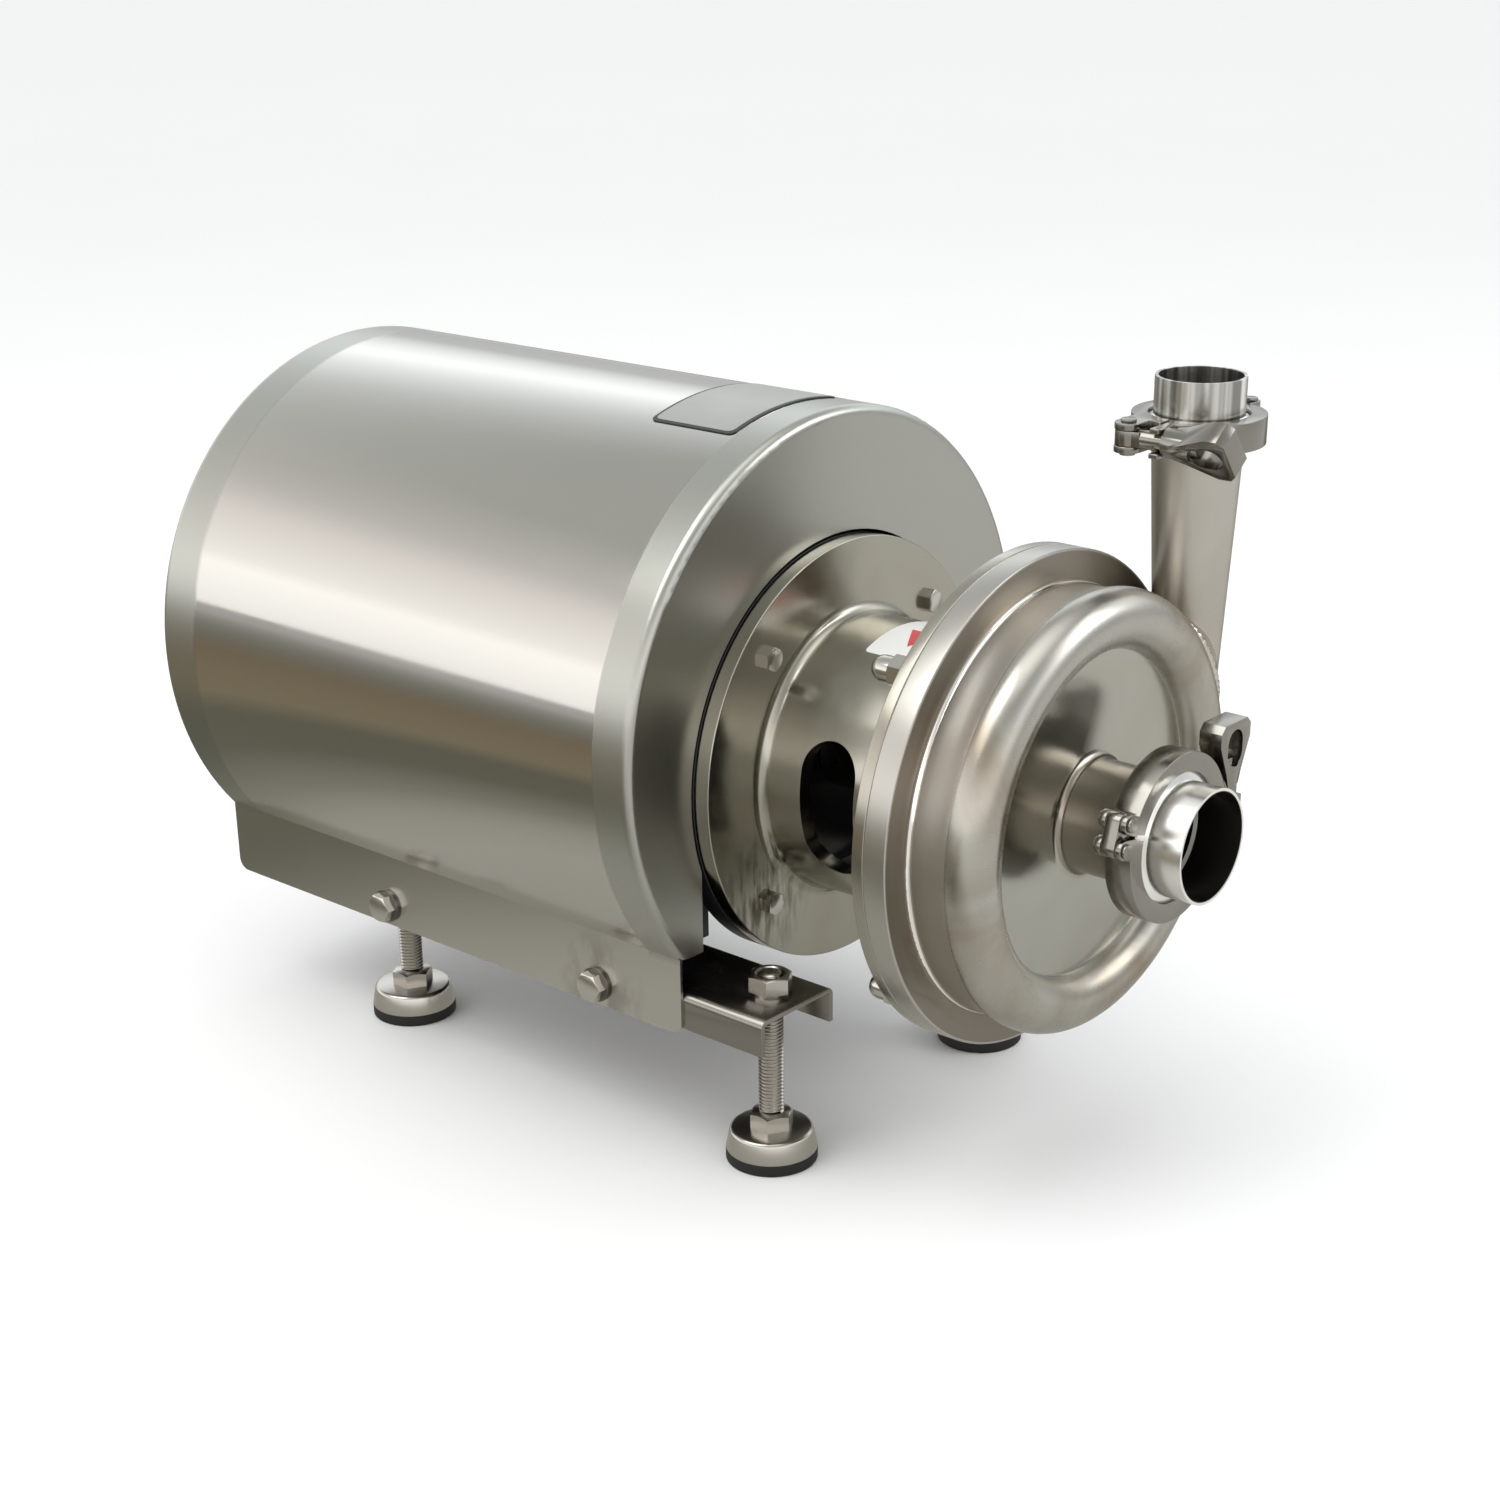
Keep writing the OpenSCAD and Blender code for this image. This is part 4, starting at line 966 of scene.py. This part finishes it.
@dataclass
class Studio:
    """Pale floor, soft light and the camera."""

    camera_at: Point3 = (691.59 + SHIFT_X, -853.44, 565.10)
    azimuth_deg: float = 40.66
    elevation_deg: float = 22.21
    roll_deg: float = -0.50
    lens: float = 59.77
    sensor: float = 36.0
    clip_start: float = 0.01
    shift: Point2 = (-0.0138, 0.0715)
    floor_size: float = 30.0
    floor_segments: int = 64
    room_strength: float = 2.0
    # Brightness of the room by elevation, on the camera's side and behind the pump
    front_room: Sequence[tuple[float, Colour]] = (
        (0, (1.55, 1.55, 1.55)), (11, (1.8, 1.8, 1.8)), (14, (1.55, 1.53, 1.5)),
        (25, (1.22, 1.18, 1.17)), (32, (0.85, 0.85, 0.83)), (42, (0.6, 0.62, 0.6)),
        (56, (0.6, 0.62, 0.6)), (64, (1.1, 1.1, 1.1)), (72, (1.5, 1.5, 1.5)),
        (90, (1.6, 1.6, 1.6)),
    )
    back_room: Sequence[tuple[float, Colour]] = (
        (0, (0.55, 0.56, 0.57)), (11, (0.7, 0.72, 0.73)), (25, (1.7, 1.78, 1.84)),
        (37, (0.95, 1.0, 1.03)), (46, (0.6, 0.62, 0.62)), (56, (0.6, 0.62, 0.6)),
        (64, (1.1, 1.1, 1.1)), (72, (1.5, 1.5, 1.5)), (90, (1.6, 1.6, 1.6)),
    )
    # Where the camera's side of the room goes over to the back
    back_span: Point2 = (-0.25, 0.35)
    # Brightness of the mirrored floor by distance, in metres
    far_floor: Sequence[tuple[float, Colour]] = (
        (0.30, (0.40, 0.39, 0.34)), (0.45, (0.19, 0.19, 0.15)), (0.56, (0.18, 0.18, 0.14)),
        (0.66, (0.30, 0.26, 0.18)), (1.15, (0.27, 0.22, 0.15)), (1.6, (0.26, 0.25, 0.21)),
        (4.9, (0.6, 0.6, 0.6)),
    )
    far_reach: float = 5.0
    far_lift: float = 0.0012
    # How much of it covers the pale floor near the pump and on the casing's side, in metres and shares
    near_floor: Point2 = (0.24, 0.36)
    near_cover: float = 0.8
    pale_side: Point2 = (0.08, 0.40)
    pale_cover: float = 0.38
    softboxes: Sequence[Softbox] = (
        Softbox("key softbox", (-0.6, -1.2, 2.2), (0.0, 0.0, 0.2), 1.6, 22.0),
        Softbox("rim softbox", (1.6, 1.4, 1.6), (0.05, 0.0, 0.2), 1.2, 12.0),
    )

    def build(self) -> None:
        """Make the camera, the floor and the lights."""
        self.make_camera()
        self.make_disc("floor", FLOOR_PAINT.material())
        self.make_room()
        self.make_far_floor()
        for softbox in self.softboxes:
            softbox.build()

    def make_camera(self) -> None:
        """Set the camera at the photograph's angle."""
        a, e, r = (math.radians(v) for v in (self.azimuth_deg, self.elevation_deg, self.roll_deg))
        back = Vector((math.sin(a) * math.cos(e), -math.cos(a) * math.cos(e), math.sin(e)))
        right = Vector((math.cos(a), math.sin(a), 0.0))
        up = back.cross(right)
        right, up = math.cos(r) * right + math.sin(r) * up, -math.sin(r) * right + math.cos(r) * up
        data = bpy.data.cameras.new("camera")
        data.lens = self.lens
        data.sensor_width = self.sensor
        data.shift_x, data.shift_y = self.shift
        data.clip_start = self.clip_start
        camera = bpy.data.objects.new("camera", data)
        turn = Matrix((right, up, back)).transposed().to_4x4()
        camera.matrix_world = Matrix.Translation(Vector(self.camera_at) * MM) @ turn
        bpy.context.scene.collection.objects.link(camera)
        bpy.context.scene.camera = camera

    def make_disc(self, name: str, material: bpy.types.Material, lift: float = 0.0) -> bpy.types.Object:
        """Lay a wide disc.

        Args:
            name: Its name.
            material: Its material.
            lift: Its height, in metres.

        Returns:
            The disc.
        """
        bm = bmesh.new()
        bmesh.ops.create_circle(bm, cap_ends=True, radius=self.floor_size, segments=self.floor_segments)
        bmesh.ops.translate(bm, vec=(0.0, 0.0, lift), verts=bm.verts)
        mesh = bpy.data.meshes.new(name)
        bm.to_mesh(mesh)
        bm.free()
        mesh.materials.append(material)
        disc = bpy.data.objects.new(name, mesh)
        bpy.context.scene.collection.objects.link(disc)
        return disc

    def make_room(self) -> None:
        """Light the pump by a soft room, which is brighter in some heights than in others."""
        scene = bpy.context.scene
        scene.view_settings.view_transform = "Standard"
        world = bpy.data.worlds.new("soft room")
        scene.world = world
        world.use_nodes = True
        tree = world.node_tree
        graph = Graph(tree)
        parts = graph.split(add_node(tree, "ShaderNodeTexCoord").outputs["Generated"])
        height = graph.remap(parts["Z"], (-1.0, 1.0))
        to_back = graph.remap(parts["Y"], self.back_span)
        front, back = (
            add_node(tree, "ShaderNodeValToRGB", {"stops": self.room_stops(side)}, {"Fac": height})
            for side in (self.front_room, self.back_room)
        )
        links = {0: to_back, COLOUR_A: front.outputs["Color"], COLOUR_B: back.outputs["Color"]}
        room = add_node(tree, "ShaderNodeMix", {"data_type": "RGBA"}, links)
        ground = tree.nodes["Background"]
        tree.links.new(room.outputs[COLOUR_OUT], ground.inputs["Color"])
        ground.inputs["Strength"].default_value = self.room_strength

    def room_stops(self, side: Sequence[tuple[float, Colour]]) -> list[tuple[float, Shade]]:
        """Turn elevations in degrees and brightnesses to the stops of a ramp."""
        return [
            ((math.sin(math.radians(degrees)) + 1) / 2, (*(v / self.room_strength for v in shade), 1.0))
            for degrees, shade in side
        ]

    def make_far_floor(self) -> None:
        """Lay what the steel mirrors of the room's floor, which darkens away from the motor.

        Only mirrored rays meet it: the camera sees the pale floor.
        """
        material = bpy.data.materials.new("dim far floor")
        material.use_nodes = True
        tree = material.node_tree
        tree.nodes.remove(tree.nodes["Principled BSDF"])
        graph = Graph(tree)
        spot = add_node(tree, "ShaderNodeTexCoord").outputs["Object"]
        away = graph.vector("DISTANCE", spot, (0.0, 0.0, 0.0)).outputs["Value"]
        stops = [(metres / self.far_reach, (*shade, 1.0)) for metres, shade in self.far_floor]
        reach = graph.remap(away, (0.0, self.far_reach))
        colour = add_node(tree, "ShaderNodeValToRGB", {"stops": stops}, {"Fac": reach})
        glow = add_node(tree, "ShaderNodeEmission", links={"Color": colour.outputs["Color"]})
        clear = add_node(tree, "ShaderNodeBsdfTransparent")
        near = graph.remap(away, self.near_floor, (self.near_cover, 1.0))
        side = graph.remap(graph.split(spot)["X"], self.pale_side, (1.0, self.pale_cover))
        cover = graph.compute("MULTIPLY", near, side)
        links = {0: cover, 1: clear.outputs["BSDF"], 2: glow.outputs["Emission"]}
        mixed = add_node(tree, "ShaderNodeMixShader", links=links)
        tree.links.new(mixed.outputs["Shader"], tree.nodes["Material Output"].inputs["Surface"])
        far = self.make_disc("far_floor", material, self.far_lift)
        far.visible_camera = False
        far.visible_diffuse = False
        far.visible_shadow = False
        far.visible_transmission = False


# Sub-assemblies


@dataclass
class Shroud:
    """Sheet shroud with its skirts, rear plate, bolts and bare name plate."""

    radius: float = 141.5
    centre_h: float = 190.0
    skirt_y: float = 109.6
    bolt_x: Point2 = (-54.4, -199.9)
    bolt_z: float = 73.55
    flats: float = 13.0
    head_h: float = 5.3
    shank_r: float = 4.0
    shank_l: float = 12.0
    shank_segments: int = 32
    washer_r: float = 8.5
    washer_t: float = 1.6
    washer_gap: float = 0.05
    washer_round: float = 0.4
    washer_segments: int = 48
    plate_x: Point2 = (-72.0, -23.0)
    plate_deg: Point2 = (-18.5, 11.5)
    plate_t: float = 0.5
    plate_corner: float = 3.0
    rim_width: float = 1.6
    face_lift: float = 0.15

    def build(self, nodes: CadNodes) -> None:
        """Dress the sheets and make the bolts and the plate.

        Args:
            nodes: The CAD nodes by name.
        """
        dress_nodes(nodes, {"shroud_shell": SHEET, "shroud_rear_plate": FRONT_SHEET})
        self.make_bolts()
        label = Label(self.plate_x, self.plate_deg, self.radius, self.centre_h, self.plate_corner)
        rim = label.wrap(label.sheet(), self.plate_t)
        new_piece("name_plate_rim", rim, PLATE_INK)
        face = label.wrap(label.sheet(self.rim_width), self.plate_t + self.face_lift)
        new_piece("name_plate", face, PLATE_METAL)

    def make_bolts(self) -> None:
        """Make the bolts and washers on both skirts."""
        heads, washers = bmesh.new(), bmesh.new()
        hole_r = self.shank_r + self.washer_gap
        shank = [(self.shank_r, self.washer_t), (self.shank_r, -self.shank_l), (0.0, -self.shank_l)]
        ring = [(hole_r, 0.0), (hole_r, self.washer_t), (self.washer_r, self.washer_t), (self.washer_r, 0.0)]
        for side in (-1, 1):
            for x in self.bolt_x:
                at = (x + SHIFT_X, side * self.skirt_y, self.bolt_z)
                turn = turn_to(Axis.Y, side)
                head = Hexagon(self.flats).block(self.washer_t, self.washer_t + self.head_h)
                join(heads, place(head, at, turn))
                join(heads, place(lathe(shank, segments=self.shank_segments), at, turn))
                join(washers, place(lathe(ring, {2: self.washer_round}, self.washer_segments), at, turn))
        new_piece("skirt_bolt_heads", heads, BOLT_STEEL, ["skirt_bolts"])
        new_piece("skirt_bolt_washers", washers, WASHER_STEEL, ["skirt_washers"])


@dataclass
class RailsAndFeet:
    """Two rails, their nuts and four levelling feet."""

    rail_top: float = 83.4
    foot_x: Point2 = (27.7, -217.8)
    foot_y: float = 81.5
    thread: Thread = Thread(5.9, 0.9, 1.75)
    thread_sunk: float = 1.0
    segments: int = 96
    pad_r: float = 21.3
    pad_h: float = 5.5
    pad_step: float = 2.7
    pad_rounds: Mapping[int, float] = field(default_factory=lambda: {1: 0.8, 2: 0.5})
    cap_h: float = 11.0
    cap_top_r: float = 19.4
    cap_drop: float = 0.6
    cap_lip: float = 2.5
    cap_rounds: Mapping[int, float] = field(default_factory=lambda: {1: 0.5, 2: 1.6})
    hex_flats: float = 18.0
    hex_h: float = 7.5
    hex_sunk: float = 0.3
    nut_h: float = 10.0
    nut_bore: float = 6.0
    nut_collar: Point2 = (8.5, 2.0)

    def build(self) -> None:
        """Make the rails, nuts and feet."""
        for side in ("left", "right"):
            rail = RAIL_EDGE.copy_of(f"{side}_rail")
            new_piece(f"{side}_rail_channel", rail, RAIL_STEEL, [f"{side}_rail"])
        self.make_nuts()
        for row, x in zip(("front", "rear"), self.foot_x):
            for hand, side in (("left", 1), ("right", -1)):
                self.make_foot(row, hand, (x + SHIFT_X, side * self.foot_y, 0.0))

    def make_nuts(self) -> None:
        """Make the nut and collar of each foot on top of the rails."""
        nuts = bmesh.new()
        shape = Hexagon(self.hex_flats, bore=self.nut_bore, collar=self.nut_collar)
        for x in self.foot_x:
            for side in (-1, 1):
                nut = shape.block(self.rail_top + self.nut_collar[1], self.rail_top + self.nut_h)
                join(nuts, place(nut, (x + SHIFT_X, side * self.foot_y, 0.0)))
        new_piece("foot_nuts", nuts, FOOT_STEEL, ["rail_nuts"])

    def make_foot(self, row: str, hand: str, at: Point3) -> None:
        """Make one foot: cap, hexagon, threaded stud and rubber pad.

        Args:
            row: "front" or "rear".
            hand: "left" or "right".
            at: Its place on the floor.
        """
        body = f"foot_{row}_{hand}"
        top = self.pad_h + self.cap_h
        cap = [
            (self.pad_r - self.cap_lip, self.pad_h),
            (self.pad_r, self.pad_h),
            (self.cap_top_r, top - self.cap_drop),
            (self.thread.radius, top),
        ]
        bm = lathe(cap, self.cap_rounds, self.segments)
        join(bm, Hexagon(self.hex_flats).block(top - self.hex_sunk, top + self.hex_h))
        join(bm, self.thread.rod(top + self.hex_h - self.thread_sunk, self.rail_top + self.nut_h))
        foot = f"{row}_{hand}_levelling_foot"
        new_piece(foot, place(bm, at), FOOT_STEEL, [f"{row}_{hand}_foot"], body)
        step_r = self.pad_r - self.pad_step
        step_h = self.pad_h + self.cap_h / 2
        pad = [
            (0.0, 0.0),
            (self.pad_r, 0.0),
            (self.pad_r, self.pad_h),
            (step_r, self.pad_h),
            (step_r, step_h),
            (0.0, step_h),
        ]
        bm = lathe(pad, self.pad_rounds, self.segments)
        new_piece(f"{row}_{hand}_rubber_pad", place(bm, at), RUBBER, [f"{row}_{hand}_pad"], body)


@dataclass
class Motor:
    """Black flanged motor inside the shroud."""

    finishes: Mapping[str, Finish] = field(
        default_factory=lambda: {
            **dict.fromkeys(("motor_frame", "motor_flange", "motor_rear_shield"), BLACK_PAINT),
            **dict.fromkeys(("fan_cowl", "terminal_box", "terminal_lid"), BLACK_PAINT),
            **dict.fromkeys(("motor_foot_bolts", "motor_bearings"), POLISHED),
            "cable_gland": PLASTIC,
            "stator": COPPER,
        }
    )

    def build(self, nodes: CadNodes) -> None:
        """Dress the motor's nodes."""
        dress_nodes(nodes, self.finishes)


@dataclass
class Lantern:
    """Cast lantern between motor and casing, with its bolts, cap nuts and arrow."""

    flange_t: float = 8.5
    length: float = 104.0
    pump_flange_t: float = 6.0
    bolt_circle: float = 165.0
    stud_circle: float = 206.0
    flats: float = 10.0
    head_h: float = 4.0
    bolt_r: float = 3.0
    bolt_l: float = 12.0
    bolt_segments: int = 24
    cap_flats: float = 13.0
    cap_hex_h: float = 8.0
    cap_neck: float = 5.0
    cap_dome_r: float = 5.8
    cap_flat_r: float = 0.6
    cap_sunk: float = 1.0
    cap_segments: int = 32
    neck_r: float = 65.0
    film_x: Point2 = (37.0, 71.0)
    film_deg: Point2 = (-24.0, 32.0)
    film_t: float = 0.15
    # Arrow: half width of the head and of the shaft, and the arc length at its tip, root and tail
    arrow: tuple[float, float, float, float, float] = (9.0, 4.0, -18.0, -2.0, 26.0)
    arrow_t: float = 0.22
    arrow_step: int = 2

    def places(self, circle: float, x: float) -> list[Point3]:
        """Give four places at 45 degrees round the shaft, on a circle of this diameter."""
        reach = circle / 2 * math.sqrt(0.5)
        return [(x + SHIFT_X, y * reach, AXIS_H + z * reach) for y in (-1, 1) for z in (-1, 1)]

    def build(self, nodes: CadNodes) -> None:
        """Round the lantern's edges, dress the studs and make the fasteners and the arrow.

        Args:
            nodes: The CAD nodes by name.
        """
        casting = LANTERN_EDGE.copy_of("lantern")
        new_piece(
            "lantern_casting", casting, LANTERN_STEEL, ["lantern"], smooth_deg=FLAT_SMOOTH_DEG
        )
        dress_nodes(nodes, {"casing_studs": POLISHED})
        self.make_bolts()
        self.make_cap_nuts()
        self.make_arrow()

    def make_bolts(self) -> None:
        """Make the bolts that hold the lantern to the motor."""
        heads = bmesh.new()
        turn = turn_to(Axis.X)
        shank = [(self.bolt_r, self.flange_t), (self.bolt_r, -self.bolt_l), (0.0, -self.bolt_l)]
        for at in self.places(self.bolt_circle, 0.0):
            head = Hexagon(self.flats).block(self.flange_t, self.flange_t + self.head_h)
            join(heads, place(head, at, turn))
            join(heads, place(lathe(shank, segments=self.bolt_segments), at, turn))
        new_piece("lantern_bolt_heads", heads, BOLT_STEEL, ["lantern_bolts"])

    def make_cap_nuts(self) -> None:
        """Make the domed nuts on the casing's studs."""
        caps = bmesh.new()
        turn = turn_to(Axis.X, -1)
        end = self.cap_hex_h + self.cap_neck + self.cap_dome_r
        dome = [(self.cap_dome_r, self.cap_hex_h - self.cap_sunk), (self.cap_dome_r, end), (0.0, end)]
        rounds = {1: self.cap_dome_r - self.cap_flat_r}
        for at in self.places(self.stud_circle, self.length - self.pump_flange_t):
            join(caps, place(Hexagon(self.cap_flats).block(0.0, self.cap_hex_h), at, turn))
            join(caps, place(lathe(dome, rounds, self.cap_segments), at, turn))
        new_piece("domed_cap_nuts", caps, POLISHED, ["cap_nuts"])

    def make_arrow(self) -> None:
        """Stick a white film with a red arrow on the neck, which shows the way that the shaft turns."""
        label = Label(self.film_x, self.film_deg, self.neck_r, AXIS_H)
        new_piece("turning_arrow_film", label.wrap(label.sheet(), self.film_t), PAPER)
        half, shaft, tip, root, tail = self.arrow
        right = [(half, root), (shaft, root), (shaft, tail)]
        outline = [(0.0, tip), *right, *((-x, y) for x, y in reversed(right))]
        middle = sum(self.film_x) / 2
        arrow = bmesh.new()
        arrow.faces.new([arrow.verts.new((middle + x, y, 0.0)) for x, y in outline])
        for cut in range(int(tip) + self.arrow_step, int(tail), self.arrow_step):
            geom = list(arrow.verts) + list(arrow.edges) + list(arrow.faces)
            bmesh.ops.bisect_plane(arrow, geom=geom, dist=1e-5, plane_co=(0, cut, 0), plane_no=(0, 1, 0))
        new_piece("turning_arrow", label.wrap(arrow, self.arrow_t), RED_INK)


@dataclass
class Casing:
    """Pressed casing with its discharge, back plate and seals."""

    ring_mid: float = 139.5
    ring_r: float = 86.0
    ring_section: float = 13.3
    drum_r: float = 96.8
    outlet_x: float = 133.0
    throat_r: float = 12.7
    outlet_r: float = 20.0
    cone_top: float = 316.0
    seam_step: float = 0.25
    bead_r: float = 2.2
    bead_steps: int = 144
    bead_rings: int = 2
    # Every third point of the bead is thinner, which leaves ripples
    ripple_every: int = 3
    ripple_share: float = 0.72
    bead_smooth_deg: float = 60.0
    finishes: Mapping[str, Finish] = field(
        default_factory=lambda: {
            "back_plate": CASING_STEEL,
            "casing_seal": WHITE_SEAL,
            "seal_seat": CARBON,
        }
    )

    def build(self, nodes: CadNodes) -> None:
        """Round the casing's edges, dress its other nodes and run the weld round the discharge.

        Args:
            nodes: The CAD nodes by name.
        """
        shell = CASING_EDGE.copy_of("casing")
        new_piece("casing_shell", shell, CASING_STEEL, ["casing"], smooth_deg=FLAT_SMOOTH_DEG)
        dress_nodes(nodes, self.finishes)
        self.make_weld()

    def seam_point(self, angle: float) -> Vector:
        """Find where the discharge cone comes out of the casing.

        Args:
            angle: Angle round the cone.

        Returns:
            A point in the part's frame, in millimetres.
        """
        height = self.cone_top
        while height > AXIS_H:
            share = (height - AXIS_H) / (self.cone_top - AXIS_H)
            radius = self.throat_r + (self.outlet_r - self.throat_r) * share
            x, y = self.outlet_x + math.cos(angle) * radius, self.ring_r + math.sin(angle) * radius
            out = math.hypot(y, height - AXIS_H)
            in_ring = math.hypot(out - self.ring_r, x - self.ring_mid) < self.ring_section
            if in_ring or (out < self.drum_r and x < self.ring_mid):
                break
            height -= self.seam_step
        return Vector((x + SHIFT_X, y, height))

    def make_weld(self) -> None:
        """Lay a rippled bead along the seam of discharge and casing."""
        curve = bpy.data.curves.new("weld", "CURVE")
        curve.dimensions = "3D"
        curve.bevel_depth = self.bead_r * MM
        curve.bevel_resolution = self.bead_rings
        spline = curve.splines.new("POLY")
        spline.points.add(self.bead_steps - 1)
        spline.use_cyclic_u = True
        for number, point in enumerate(spline.points):
            point.co = (*(self.seam_point(math.tau * number / self.bead_steps) * MM), 1.0)
            point.radius = 1.0 if number % self.ripple_every else self.ripple_share
        path = bpy.data.objects.new("weld", curve)
        bm = bmesh.new()
        bm.from_mesh(path.to_mesh())
        path.to_mesh_clear()
        bpy.data.objects.remove(path)
        bpy.data.curves.remove(curve)
        finish_mesh(bm)
        new_piece("discharge_weld", bm, WELD, smooth_deg=self.bead_smooth_deg)


@dataclass
class Port:
    """Clamped tube end: gasket, ferrule, hinged clamp, swing bolt and wing nut."""

    name: str
    halves: tuple[str, str]
    bolt_body: Body
    nut_body: Body

    def build(self, nodes: CadNodes) -> None:
        """Dress the port and round its cast pieces.

        Args:
            nodes: The CAD nodes by name.
        """
        dress_nodes(nodes, {f"{self.name}_gasket": WHITE_SEAL, f"{self.name}_ferrule": TUBE_STEEL})
        pieces = [(f"clamp_{half}", "casting", CLAMP_EDGE, Body.FRAME) for half in self.halves]
        pieces += [(f"clamp_{kind}", "soft", LINK_EDGE, Body.FRAME) for kind in ("link", "pins")]
        pieces.append(("swing_bolt", "soft", SWING_BOLT_EDGE, self.bolt_body))
        pieces.append(("wing_nut", "soft", WING_EDGE, self.nut_body))
        for kind, ending, edge, body in pieces:
            node = f"{self.name}_{kind}"
            copy = edge.copy_of(node)
            new_piece(f"{node}_{ending}", copy, CLAMP_STEEL, [node], body.value)


@dataclass
class TurningGroup:
    """Shafts, rotor, fan, seal and impeller."""

    finishes: Mapping[str, Finish] = field(
        default_factory=lambda: {
            **dict.fromkeys(("motor_shaft", "rotor_core", "shaft_key", "shaft_screws"), MACHINED),
            **dict.fromkeys(("pump_shaft", "seal_spring", "impeller_nut"), POLISHED),
            "cooling_fan": PLASTIC,
            "seal_ring": CARBON,
            "impeller": CASING_STEEL,
        }
    )

    def build(self, nodes: CadNodes) -> None:
        """Dress the turning nodes."""
        dress_nodes(nodes, self.finishes)


def main() -> None:
    """Build the pump's looks piece by piece."""
    logging.basicConfig(level=logging.INFO, format="%(name)s %(message)s")
    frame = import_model()
    nodes = frame["nodes"]
    Studio().build()
    Shroud().build(nodes)
    RailsAndFeet().build()
    Motor().build(nodes)
    Lantern().build(nodes)
    Casing().build(nodes)
    Port("inlet", ("lower", "upper"), Body.INLET_BOLT, Body.INLET_NUT).build(nodes)
    Port("outlet", ("rear", "front"), Body.OUTLET_BOLT, Body.OUTLET_NUT).build(nodes)
    TurningGroup().build(nodes)


if __name__ == "__main__":
    main()
